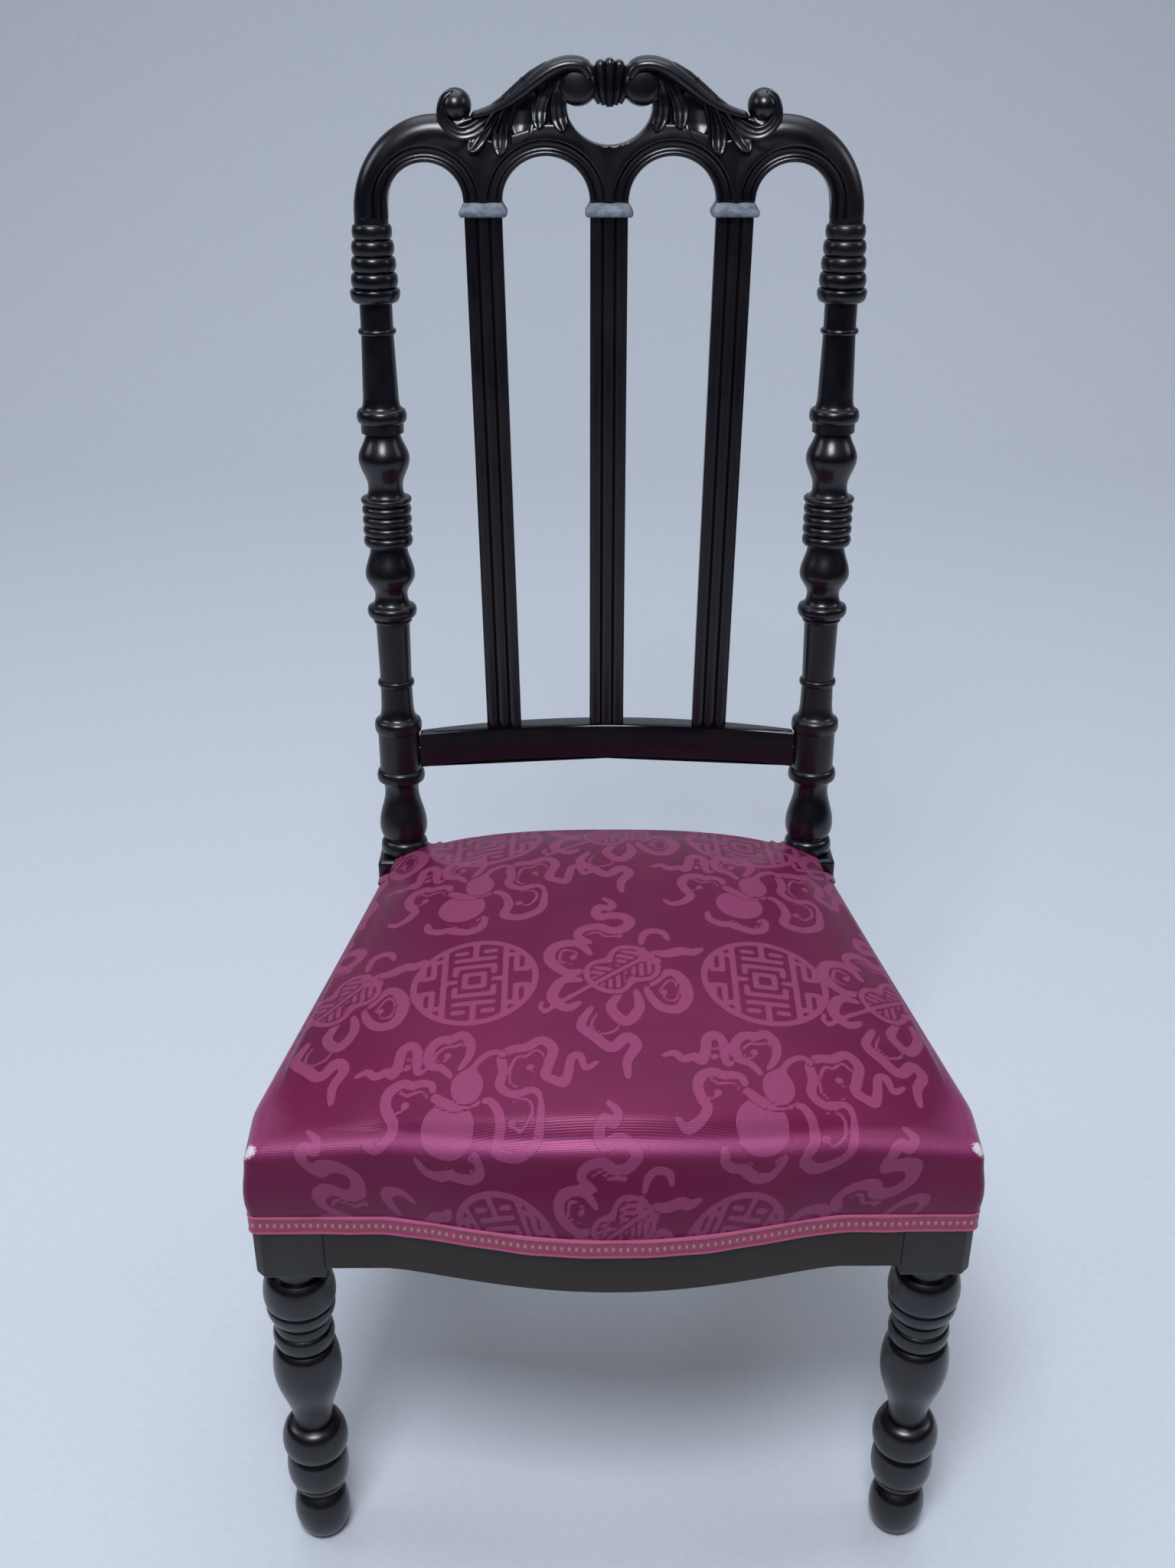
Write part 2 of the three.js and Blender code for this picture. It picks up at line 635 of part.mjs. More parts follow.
function crestBoard() {
  const right = crestHalfOutline();
  const left = right.slice().reverse().map((p) => new THREE.Vector2(-p.x, p.y));
  const board = new THREE.ExtrudeGeometry(new THREE.Shape([...right, ...left]), {
    depth: crestThickness - 2 * crestEdgeRound,
    bevelThickness: crestEdgeRound,
    bevelSize: crestEdgeRound,
    bevelOffset: -crestEdgeRound,
    bevelSegments: 1,
    curveSegments: 1,
  });
  board.translate(0, 0, crestEdgeRound - crestThickness / 2);
  const trim = box(
    2 * outerArchStart, 2 * overrun + 2 * crestEdgeRound, 2 * crestThickness,
    V(0, archSpring - overrun - crestEdgeRound, 0));
  const pierce = new THREE.CylinderGeometry(1 / 2, 1 / 2, 2 * crestThickness, 24);
  pierce.rotateX(Math.PI / 2);
  pierce.scale(pierceWidth, pierceHeight, 1);
  pierce.translate(0, archSpring + pierceRise, 0);
  return cut(board, trim, pierce);
}

function shoulder() {
  const bend = arc(shoulderX - shoulderRun, shoulderStart, shoulderRun, shoulderRise, 0, 90, 9);
  const centre = [
    V(shoulderX, crestJoint, 0),
    ...bend.map((p) => V(p.x, p.y, 0)),
    V(mix(pebbleSpacing, splatSpacingAtHead, 1 / 2), shoulderStart + shoulderRise, 0),
  ];
  return taperedBar(centre, centre.map(() => shoulderTubeWidth), 12);
}

function blob(x, y, width, sides = 10) {
  return new THREE.SphereGeometry(width / 2, sides, sides / 2).translate(x, y, 0);
}

function carvedBar(pathShares, spanX, lowY, highY, width, widthShares, front) {
  const curve = new THREE.CatmullRomCurve3(pathShares.map(([across, rise]) => V(
    across * spanX, mix(lowY, highY, rise), front)));
  const points = curve.getPoints(pathShares.length * 2 - 2);
  const widths = points.map((_, i) => {
    const place = i / (points.length - 1) * (widthShares.length - 1);
    const low = Math.min(Math.floor(place), widthShares.length - 2);
    return width * mix(widthShares[low], widthShares[low + 1], place - low);
  });
  return taperedBar(points, widths);
}

// Paths of the right-hand carving: share of the pebbles' distance, share from arch tops to crest top
const scrollPathShares = [[0.84, 0.42], [0.7, 0.5], [0.55, 0.7], [0.42, 0.86], [0.29, 0.89], [0.19, 0.86]];
const scrollWidthShares = [0.5, 0.75, 0.95, 1, 0.9, 0.7];
const tailPathShares = [[0.72, 0.42], [0.84, 0.28], [0.98, 0.22], [1.08, 0.34]];
const tailWidthShares = [0.3, 0.5, 0.55, 0.3];
const leafPathShares = [
  [[0.5, 0.72], [0.62, 0.46], [0.74, 0.24], [0.88, 0.08]],
  [[0.46, 0.74], [0.54, 0.46], [0.63, 0.22], [0.7, 0.02]],
  [[0.4, 0.74], [0.42, 0.5], [0.48, 0.3], [0.55, 0.16]],
  [[0.34, 0.76], [0.33, 0.56], [0.33, 0.42], [0.31, 0.3]],
];
const leafWidthShares = [0.5, 0.9, 1, 0.35];
const palmetteAngleShares = [-1, -0.5, 0, 0.5, 1];
const palmetteSpreadDegrees = 24;

function carving() {
  const archTop = archSpring + innerArchRadius;
  const front = crestThickness / 2 - leafSunk;
  const scroll = carvedBar(
    scrollPathShares, pebbleSpacing, archTop, crestTop, scrollWidth, scrollWidthShares, 0);
  const tail = carvedBar(
    tailPathShares, pebbleSpacing, archTop, crestTop, scrollWidth, tailWidthShares, front);
  const leaves = leafPathShares.map((path) => carvedBar(
    path, pebbleSpacing, archTop, crestTop, leafWidth, leafWidthShares, front - leafWidth / 4));
  const pebble = blob(pebbleSpacing, crestValley + pebbleAboveValley, pebbleWidth);
  const volute = blob(voluteSpacing, crestTop - voluteBelowTop, voluteWidth);
  return [scroll, tail, ...leaves, pebble, volute];
}

function palmette() {
  return palmetteAngleShares.map((share) => {
    const angle = THREE.MathUtils.degToRad(share * palmetteSpreadDegrees);
    const reach = palmetteLength - palmetteLobeWidth / 2;
    const foot = crestTop - palmetteLength;
    const points = steps(3).map((t) => V(
      Math.sin(angle) * reach * t, foot + Math.cos(angle) * reach * t, 0));
    const widthShares = [0.8, 1, 1.15, 0.7];
    return taperedBar(points, widthShares.map((w) => w * palmetteLobeWidth), smallSides);
  });
}

function archBead(centreX, radius) {
  const sunk = radius + archBeadWidth / 2;
  const line = arc(centreX, archSpring, sunk, sunk, 180, 0, 10).map((p) => V(p.x, p.y, 0));
  line.forEach((p) => { p.z = crestThickness / 2 - crestEdgeRound + archBeadWidth / 4; });
  return taperedBar(line, line.map(() => archBeadWidth), 5);
}

function crestRail() {
  const beads = [
    archBead(archStemWidth / 2 + innerArchRadius, innerArchRadius),
    archBead(outerArchStart + outerArchRadius, outerArchRadius),
  ];
  const rightSide = [shoulder(), ...carving(), ...beads];
  const whole = carvedWhole(join(
    crestBoard(), ...rightSide, ...rightSide.map(mirrored), ...palmette()));
  const socket = rod(
    V(0, crestJoint - overrun, 0), V(0, crestJoint + postTenonLength + fit, 0), postTenonWidth + 2 * fit);
  socket.rotateZ(-splay);
  socket.translate(postSpacingAtFloor / 2, 0, 0);
  const wide = 2 * shoulderTubeWidth;
  const seat = box(wide, 2 * overrun, wide, V(0, crestJoint + fit - overrun, 0));
  seat.rotateZ(-splay);
  seat.translate(postSpacingAtFloor / 2, 0, 0);
  const mortises = [-1, 0, 1].map((side) => splatTenon(side, 'head', fit));
  return cut(whole, socket, mirrored(socket), seat, mirrored(seat), ...mortises);
}

// Seat rails, each with a rebated upper part

function frontSeatRail() {
  const end = legSpacing / 2 - blockHalf - fit;
  const across = frontPlaces(end);
  const plan = (inset) => [
    ...across.map((x) => [x, frontY(x) + inset]),
    ...across.slice().reverse().map((x) => [x, frontY(x) + frontRailThickness]),
  ];
  const lower = prism(plan(0), plan(0), railBottom, rebateHeight);
  const upper = prism(plan(rebateDepth), plan(rebateDepth), rebateHeight - overrun, railTop);
  const holes = [...rightDowels(fit), ...screwHoles()];
  return cut(join(lower, upper), ...holes, ...holes.map(mirrored));
}

function sideSeatRail() {
  const plan = (z, inset) => {
    const front = blockHalf + fit;
    const rear = postFrontY(z) - fit;
    return [
      [sideX(front) - sideRailThickness, front], [sideX(front) - inset, front],
      [sideX(rear) - inset, rear], [sideX(rear) - sideRailThickness, rear],
    ];
  };
  const stretch = (low, high, inset) => prism(plan(low, inset), plan(high, inset), low, high);
  const body = join(
    stretch(railBottom, rebateHeight, 0), stretch(rebateHeight - overrun, railTop, rebateDepth));
  return cut(body, ...rightDowels(fit), ...screwHoles());
}

function backSeatRail() {
  const plan = (z, inset) => {
    const end = postInnerX(z) - fit;
    const rear = postRearY(z);
    return [
      [-end, rear - backRailThickness], [end, rear - backRailThickness],
      [end, rear - inset], [-end, rear - inset],
    ];
  };
  const stretch = (low, high, inset) => prism(plan(low, inset), plan(high, inset), low, high);
  const body = join(
    stretch(railBottom, rebateHeight, 0), stretch(rebateHeight - overrun, railTop, rebateDepth));
  const holes = [...rightDowels(fit), ...screwHoles()];
  return cut(body, ...holes, ...holes.map(mirrored));
}

// Corner blocks: glued into the corners round the legs and screwed to both rails

const blockLow = railBottom + blockAboveRailBottom;
const blockHigh = blockLow + blockHeight;

function frontBlockPlan() {
  const inner = legSpacing / 2 - blockHalf - fit;
  const railRear = frontY(inner) + frontRailThickness + fit;
  const legRear = blockHalf + fit;
  const far = legRear + blockReach;
  const railInner = (y) => sideX(y) - sideRailThickness - fit;
  return [
    [inner - blockReach, railRear], [inner, railRear], [inner, legRear],
    [railInner(legRear), legRear], [railInner(far), far],
  ];
}

function backBlockPlan(z) {
  const inner = postInnerX(z) - fit;
  const railFront = postRearY(z) - backRailThickness - fit;
  const legFront = postFrontY(z) - fit;
  const near = legFront - blockReach;
  const railInner = (y) => sideX(y) - sideRailThickness - fit;
  return [
    [railInner(near), near], [railInner(legFront), legFront], [inner, legFront],
    [inner, railFront], [inner - blockReach, railFront],
  ];
}

// Each screw starts inside the block's long face and runs square into its rail
function screwLines() {
  const z = (blockLow + blockHigh) / 2;
  const plan = frontBlockPlan();
  const rear = backBlockPlan(z);
  const frontMiddle = (plan[0][0] + plan[1][0]) / 2;
  const rearMiddle = (rear[3][0] + rear[4][0]) / 2;
  const sideFrontY = (plan[3][1] + plan[4][1]) / 2;
  const sideRearY = (rear[0][1] + rear[1][1]) / 2;
  const sideLine = (y) => {
    const face = sideX(y) - sideRailThickness;
    return [V(face - screwLength / 2, y, z), V(1, 0, 0)];
  };
  return {
    front: [V(frontMiddle, plan[0][1] + screwLength / 2 - fit, z), V(0, -1, 0)],
    side_front: sideLine(sideFrontY),
    side_rear: sideLine(sideRearY),
    back: [V(rearMiddle, rear[3][1] - screwLength / 2 + fit, z), V(0, 1, 0)],
  };
}

function screw(start, direction, grow) {
  const headEnd = start.clone().addScaledVector(direction, screwHeadHeight);
  const tip = start.clone().addScaledVector(direction, screwLength + grow);
  const neck = start.clone().addScaledVector(direction, screwHeadHeight / 2);
  const headStart = start.clone().addScaledVector(direction, grow > 0 ? -blockReach : 0);
  return join(
    rod(neck, tip, screwWidth + 2 * grow), rod(headStart, headEnd, screwHeadWidth + 2 * grow));
}

const screwHoles = () => Object.values(screwLines())
  .map(([start, direction]) => screw(start, direction, fit));
const frontCornerBlock = () => cut(
  prism(frontBlockPlan(), frontBlockPlan(), blockLow, blockHigh), ...screwHoles());
const backCornerBlock = () => cut(
  prism(backBlockPlan(blockLow), backBlockPlan(blockHigh), blockLow, blockHigh), ...screwHoles());

// Webbing: strips that pass over and under each other

const webbingLow = railTop + fit;
const webbingStep = webbingThickness + fit;

function webbingStrip(start, end, crossings, parity, place) {
  const flat = webbingWidth / 2 + fit;
  const stations = [[start, 0]];
  crossings.forEach((at, i) => {
    const level = (i + parity) % 2;
    stations.push([at - flat, level], [at + flat, level]);
  });
  stations.push([end, 0]);
  const rings = stations.map(([at, level]) => {
    const low = webbingLow + level * webbingStep;
    return [
      place(at, -webbingWidth / 2, low), place(at, webbingWidth / 2, low),
      place(at, webbingWidth / 2, low + webbingThickness),
      place(at, -webbingWidth / 2, low + webbingThickness),
    ];
  });
  return loft(rings);
}

const fromMiddle = (i) => i - (webbingCount - 1) / 2;
const webbingX = Array.from({ length: webbingCount }, (_, i) => fromMiddle(i) * webbingSpacingAcross);
const webbingY = Array.from(
  { length: webbingCount }, (_, i) => webbingFirstFromLegs + i * webbingSpacingAlong);

function webbingLengthwise(x, i) {
  const outer = Math.abs(x) + webbingWidth / 2;
  const front = frontY(outer) + rebateDepth + webbingInset;
  const rear = postRearY(railTop) - rebateDepth - webbingInset;
  return webbingStrip(front, rear, webbingY, i, (y, side, z) => V(x - side, y, z));
}

function webbingCrosswise(y, i) {
  const end = sideX(y + webbingWidth / 2) - rebateDepth - webbingInset;
  return webbingStrip(-end, end, webbingX, i + 1, (x, side, z) => V(x, y + side, z));
}

// Outline of the seat, drawn in by an inset, at a height where the posts have their place

const frontCount = frontPlaces(0).length;
const sideShares = [0, 0.25, 0.5, 0.75, 0.94];
const rearShares = steps(8);

function seatLoop(inset, z, gap) {
  const half = seatHalfWidth - inset;
  const radius = cornerRadius;
  const front = frontPlaces(half - radius).map((x) => [x, frontY(x) + inset]);
  const corner = arc(half - radius, -blockHalf + inset + radius, radius, radius, -60, 0, 2)
    .map((p) => [p.x, p.y]);
  const notchY = postFrontY(z) - gap - inset;
  const notchX = postInnerX(z) - gap - inset;
  const rearY = postRearY(z) - inset;
  const side = sideShares.map((share) => {
    const y = mix(blockHalf, notchY, share);
    return [sideX(y) - inset, y];
  });
  const edge = sideX(notchY) - inset;
  const notch = [
    [edge, notchY], [edge - fit / 2, notchY], [mix(edge, notchX, 1 / 2), notchY],
    [notchX, notchY], [notchX, mix(notchY, rearY, 1 / 2)], [notchX, rearY - fit / 2],
  ];
  const right = [...corner, ...side, ...notch];
  const rear = rearShares.map((share) => [mix(notchX, -notchX, share), rearY]);
  const left = right.slice().reverse().map(([x, y]) => [-x, y]);
  return [...front, ...right, ...rear, ...left];
}

const cornerCount = 3;
const hangStart = frontCount + cornerCount + sideShares.length;
const notchCount = 6;
const loopCount = seatLoop(0, railTop, 0).length;

// Within a notch the cover cannot hang down over a rail, so its edge stays above the rail there
function inNotch(i) {
  const mirroredPlace = (frontCount - 1 - i + loopCount) % loopCount;
  const isRight = (k) => k > hangStart && k < hangStart + notchCount;
  return isRight(i) || isRight(mirroredPlace);
}

const seatFront = -blockHalf;
const seatRear = postRearY(ridgeRear);
const seatMiddleY = mix(seatFront, seatRear, 1 / 2);

function ridgeZ(x, y) {
  const back = (y - seatFront) / (seatRear - seatFront);
  return mix(ridgeFront, ridgeRear, back) + ridgeLift * (1 - (x / seatHalfWidth) ** 2);
}

// Rings of the padded seat: its hanging side, the rounded edge and the crown
const roundShares = [[0.35, 0.7], [1, 1]];
const coverCrownShares = [0.86, 0.68, 0.48, 0.27, 0.08];
const innerCrownShares = [0.8, 0.48, 0.12];
const crownFullnessShare = 2.2;

function seatRings(inset, lowest, gap, crownShares) {
  const clearOfRail = railTop + webbingStep + 2 * fit;
  const hang = (share, swell) => {
    const level = mix(railTop, ridgeRear - edgeRound, share);
    return seatLoop(inset - swell, level, gap + swell).map(([x, y]) => V(
      x, y, mix(clearOfRail, ridgeZ(x, y) - edgeRound - inset, share)));
  };
  const overRail = hang(0, 0);
  const skirt = seatLoop(inset, lowest, gap).map(([x, y], i) => (
    inNotch(i) ? overRail[i].clone().setZ(clearOfRail - fit) : V(x, y, lowest)));
  const round = roundShares.map(([across, rise]) => (
    seatLoop(inset + across * edgeRound, ridgeRear - edgeRound, gap).map(([x, y]) => V(
      x, y, ridgeZ(x, y) - inset - edgeRound * (1 - rise)))));
  const edge = seatLoop(inset + edgeRound, ridgeRear - edgeRound, gap);
  const crown = crownShares.map((share) => edge.map(([x, y]) => {
    const px = x * share;
    const py = mix(seatMiddleY, y, share);
    const rise = crownRise * (1 - share ** crownFullnessShare);
    return V(px, py, mix(ridgeZ(px, py), ridgeZ(x, y), share) - inset + rise);
  }));
  return [skirt, overRail, hang(1 / 2, coverBulge), hang(1, coverBulge / 2), ...round, ...crown];
}

// The cover is a thin cloth: its outer and inner skins meet round their lowest rings
function seatCover() {
  const outer = seatRings(coverInset, coverBottom, postGap, coverCrownShares);
  const inner = seatRings(coverInset + coverThickness, coverBottom, postGap, innerCrownShares);
  return loft([...inner.reverse(), ...outer]);
}

function seatStuffing() {
  const inset = coverInset + coverThickness + fit;
  const bottom = hessianLow + hessianThickness + fit;
  const [, foot, ...rest] = seatRings(inset, coverBottom, postGap + fit, innerCrownShares);
  return loft([foot.map((p) => p.clone().setZ(bottom)), ...rest]);
}

const hessianLow = webbingLow + webbingThickness + webbingStep + fit;

function hessianSheet() {
  const plan = seatLoop(coverInset + coverThickness + webbingInset, railTop, postGap + fit);
  return prism(plan, plan, hessianLow, hessianLow + hessianThickness);
}

// Braid: one strip from post to post round the front, and one across the back

function braidStrip(from, to) {
  const low = braidBottom;
  const high = braidBottom + braidWidth;
  const ringAt = (inset, z) => seatLoop(inset, z, fit - inset).map(([x, y]) => V(x, y, z));
  const outward = -fit - braidThickness;
  const edges = [ringAt(outward, low), ringAt(-fit, low), ringAt(-fit, high), ringAt(outward, high)];
  const places = Array.from({ length: to - from + 1 }, (_, i) => (from + i + loopCount) % loopCount);
  return loft(places.map((k) => edges.map((edge) => edge[k])));
}

function add(name, geometry, finish) {
  const mesh = new THREE.Mesh(geometry, new THREE.MeshStandardMaterial(finish));
  mesh.name = name;
  chair.add(mesh);
  return mesh;
}

function addPair(name, geometry, finish) {
  add(`${name}_right`, geometry, finish);
  add(`${name}_left`, mirrored(geometry), finish);
}

const inBack = (geometry) => geometry.applyMatrix4(backFrame);

addPair('front_leg', frontLeg(), ebonised);
addPair('back_post', backPost(), ebonised);
add('front_seat_rail', frontSeatRail(), showWood);
addPair('side_seat_rail', sideSeatRail(), showWood);
add('back_seat_rail', backSeatRail(), showWood);
namedDowels(0).forEach(([name, dowel]) => addPair(`rail_dowel_${name}`, dowel, rawBeech));
addPair('corner_block_front', frontCornerBlock(), rawBeech);
addPair('corner_block_back', backCornerBlock(), rawBeech);
Object.entries(screwLines()).forEach(([name, [start, direction]]) => {
  addPair(`block_screw_${name}`, screw(start, direction, 0), steel);
});

add('crest_rail', inBack(crestRail()), ebonised);
add('lower_back_rail', inBack(lowerBackRail()), ebonised);
[['left', -1], ['middle', 0], ['right', 1]].forEach(([place, side]) => {
  add(`splat_${place}`, inBack(splat(side)), ebonised);
  add(`capital_${place}`, inBack(capital(side)), greyCapital);
});

webbingX.forEach((x, i) => add(`webbing_lengthwise_${i + 1}`, webbingLengthwise(x, i), jute));
webbingY.forEach((y, i) => add(`webbing_crosswise_${i + 1}`, webbingCrosswise(y, i), jute));
add('hessian_sheet', hessianSheet(), jute);
add('seat_stuffing', seatStuffing(), stuffing);
add('seat_cover', seatCover(), damask);
const rearStart = hangStart + notchCount;
add('gimp_braid', braidStrip(frontCount - 1 - hangStart, hangStart), braid);
add('gimp_braid_back', braidStrip(rearStart, rearStart + rearShares.length - 1), braid);

const bounds = new THREE.Box3().setFromObject(chair);
const middle = bounds.getCenter(V());
chair.position.set(-middle.x, -middle.y, -bounds.min.z);

export default chair;
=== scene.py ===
# A low ebonised chair with an arcaded, carved back, turned legs and a stuffed-over damask seat.
import logging
import math
from dataclasses import dataclass, field
from enum import Enum
from typing import Any, Callable, Mapping, Sequence

import bmesh
import bpy
import numpy as np
from mathutils import Matrix, Vector


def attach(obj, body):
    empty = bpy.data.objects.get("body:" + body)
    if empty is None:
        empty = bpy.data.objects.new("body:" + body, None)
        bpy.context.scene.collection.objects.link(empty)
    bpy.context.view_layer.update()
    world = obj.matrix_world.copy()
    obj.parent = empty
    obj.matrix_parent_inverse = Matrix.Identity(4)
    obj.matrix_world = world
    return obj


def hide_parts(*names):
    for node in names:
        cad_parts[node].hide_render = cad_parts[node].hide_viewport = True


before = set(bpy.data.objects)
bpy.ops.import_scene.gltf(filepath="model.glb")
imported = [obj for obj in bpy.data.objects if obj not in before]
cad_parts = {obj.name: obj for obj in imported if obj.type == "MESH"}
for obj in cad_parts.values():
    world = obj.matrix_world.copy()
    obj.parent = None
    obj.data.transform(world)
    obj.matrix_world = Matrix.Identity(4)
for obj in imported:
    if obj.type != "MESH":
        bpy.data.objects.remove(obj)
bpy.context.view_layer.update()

log = logging.getLogger("chair")

Array = np.ndarray
Faces = list[np.ndarray]
Line = tuple[tuple[float, float], ...]
Levels = Sequence[tuple[float, float]]
Placing = Callable[[Array], Array]
Socket = bpy.types.NodeSocket
MM = 0.001
SHIFT_Y = -183.577  # from the front legs' line to the frame's origin, in millimetres
BODY = "root"
POINTS_AT_ONCE = 20000
TINY = 1e-6
OFF_FIGURES = 12.0  # the greatest distance from a woven figure that is kept, in millimetres


# Colour, curves and meshes


def linear(colour: str) -> tuple[float, float, float, float]:
    """Turns an sRGB colour such as "#1b1a22" into linear light.

    Args:
        colour: six hex digits after a hash sign.

    Returns:
        Red, green, blue and an alpha of one.
    """
    parts = [int(colour[i:i + 2], 16) / 255 for i in (1, 3, 5)]
    light = [p / 12.92 if p <= 0.04045 else ((p + 0.055) / 1.055) ** 2.4 for p in parts]
    return (light[0], light[1], light[2], 1.0)


def catmull_rom(points: Sequence[Sequence[float]] | Array, count: int) -> Array:
    """Runs a smooth curve through points: a Catmull-Rom spline, then even steps along its length.

    Args:
        points: the points it passes through.
        count: how many points to return.

    Returns:
        Points at equal distances along the curve.
    """
    pts = np.asarray(points, float)
    places = np.linspace(0, len(pts) - 1, 24 * len(pts))
    i = np.minimum(places.astype(int), len(pts) - 2)
    t = (places - i)[:, None]
    a, b, c, d = (pts[np.clip(i + k, 0, len(pts) - 1)] for k in (-1, 0, 1, 2))
    dense = 0.5 * (2 * b + (c - a) * t + (2 * a - 5 * b + 4 * c - d) * t**2 + (3 * b - a - 3 * c + d) * t**3)
    return evenly(dense, count)


def evenly(line: Array, count: int) -> Array:
    """Places points at equal distances along a line of straight pieces.

    Args:
        line: the line's corners.
        count: how many points to return.

    Returns:
        The points, the first and last at the line's ends.
    """
    along = np.concatenate(([0.0], np.cumsum(np.linalg.norm(np.diff(line, axis=0), axis=1))))
    want = np.linspace(0, along[-1], count)
    return np.column_stack([np.interp(want, along, line[:, k]) for k in range(line.shape[1])])


def grid_faces(rows: int, columns: int, closed: bool = True, start: int = 0) -> Array:
    """Joins a grid of points with four-sided faces.

    Args:
        rows: how many rows of points.
        columns: how many points in each row.
        closed: whether each row's last point is joined to its first.
        start: the number of the grid's first point.

    Returns:
        The faces' point numbers.
    """
    i, j = np.meshgrid(np.arange(rows - 1), np.arange(columns if closed else columns - 1), indexing="ij")
    a, b = i * columns + j, i * columns + (j + 1) % columns
    return start + np.stack([a, b, b + columns, a + columns], -1).reshape(-1, 4)


@dataclass
class Skin:
    """Points in millimetres and the faces that join them, with an optional flat place for each point."""

    points: Array
    faces: Faces
    flat: Array | None = None

    def outward(self) -> "Skin":
        """Turns every face round where the enclosed volume, summed over the faces, comes out negative."""
        volume = 0.0
        for group in self.faces:
            corners = self.points[group]
            for k in range(1, group.shape[1] - 1):
                normals = np.cross(corners[:, k], corners[:, k + 1])
                volume += float((corners[:, 0] * normals).sum())
        if volume < 0:
            self.faces = [group[:, ::-1] for group in self.faces]
        return self

    def mirrored(self) -> "Skin":
        """The same skin on the chair's other side."""
        flat = None if self.flat is None else self.flat * (-1, 1)
        return Skin(self.points * (-1, 1, 1), [group[:, ::-1] for group in self.faces], flat)


def tube(rings: Array) -> Skin:
    """Skins a row of closed rings and closes both ends with a fan round the ring's middle.

    Args:
        rings: an array of rings by points by three.

    Returns:
        The closed skin, its faces outwards.
    """
    rows, columns = rings.shape[:2]
    first = rows * columns
    end = first - columns
    here = np.arange(columns)
    after = (here + 1) % columns
    points = np.vstack([rings.reshape(-1, 3), rings[0].mean(0), rings[-1].mean(0)])
    caps = np.vstack([
        np.column_stack([after, here, np.full(columns, first)]),
        np.column_stack([end + here, end + after, np.full(columns, first + 1)]),
    ])
    return Skin(points, [grid_faces(rows, columns), caps]).outward()


def together(skins: Sequence[Skin]) -> Skin:
    """Gathers several closed skins that make one carved or turned piece.

    Args:
        skins: skins without flat places.

    Returns:
        One skin.
    """
    starts = np.cumsum([0] + [len(skin.points) for skin in skins])
    faces = [group + start for skin, start in zip(skins, starts) for group in skin.faces]
    return Skin(np.vstack([skin.points for skin in skins]), faces)


def both_sides(right: Skin) -> tuple[tuple[str, Skin], tuple[str, Skin]]:
    """A right-hand skin and its mirror, each with its side's name."""
    return ("right", right), ("left", right.mirrored())


def piece(
    name: str,
    skin: Skin,
    finish: "Finish",
    replaces: Sequence[str] = (),
    sharp_degrees: float = 34.0,
) -> bpy.types.Object:
    """Makes a named object of a skin, in metres and in the frame's place.

    Args:
        name: the object's name.
        skin: its shape in millimetres, with the front legs' axes on Y = 0.
        finish: the finish that it wears.
        replaces: the solids that it stands for.
        sharp_degrees: edges that turn by more than this stay crisp.

    Returns:
        The object, riding on the chair's one body.
    """
    mesh = bpy.data.meshes.new(name)
    loops = np.concatenate([group.ravel() for group in skin.faces])
    totals = np.concatenate([np.full(len(group), group.shape[1]) for group in skin.faces])
    starts = np.concatenate(([0], np.cumsum(totals)[:-1]))
    placed = (skin.points + (0, SHIFT_Y, 0)) * MM
    mesh.vertices.add(len(placed))
    mesh.vertices.foreach_set("co", placed.astype(np.float32).ravel())
    mesh.loops.add(len(loops))
    mesh.loops.foreach_set("vertex_index", loops.astype(np.int32))
    mesh.polygons.add(len(totals))
    mesh.polygons.foreach_set("loop_start", starts.astype(np.int32))
    mesh.update(calc_edges=True)
    mesh.polygons.foreach_set("use_smooth", np.ones(len(totals), bool))
    if skin.flat is not None:
        layer = mesh.uv_layers.new(name="cloth")
        layer.data.foreach_set("uv", skin.flat[loops].astype(np.float32).ravel())
    mesh.set_sharp_from_angle(angle=math.radians(sharp_degrees))
    made = bpy.data.objects.new(name, mesh)
    bpy.context.scene.collection.objects.link(made)
    mesh.materials.append(finish.material())
    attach(made, BODY)
    if replaces:
        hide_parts(*replaces)
    log.info("%s: %d faces", name, len(totals))
    return made


def points_of(mesh: bpy.types.Mesh) -> Array:
    """A mesh's points, in metres.

    Args:
        mesh: the mesh.

    Returns:
        One row for each point.
    """
    points = np.empty(len(mesh.vertices) * 3, np.float32)
    mesh.vertices.foreach_get("co", points)
    return points.reshape(-1, 3)


def store(mesh: bpy.types.Mesh, name: str, values: Array) -> None:
    """Keeps a number for each point, under a name that a finish reads.

    Args:
        mesh: the mesh.
        name: the attribute's name.
        values: one number for each point.
    """
    kept = mesh.attributes.new(name, "FLOAT", "POINT")
    kept.data.foreach_set("value", values.astype(np.float32))


# Finishes


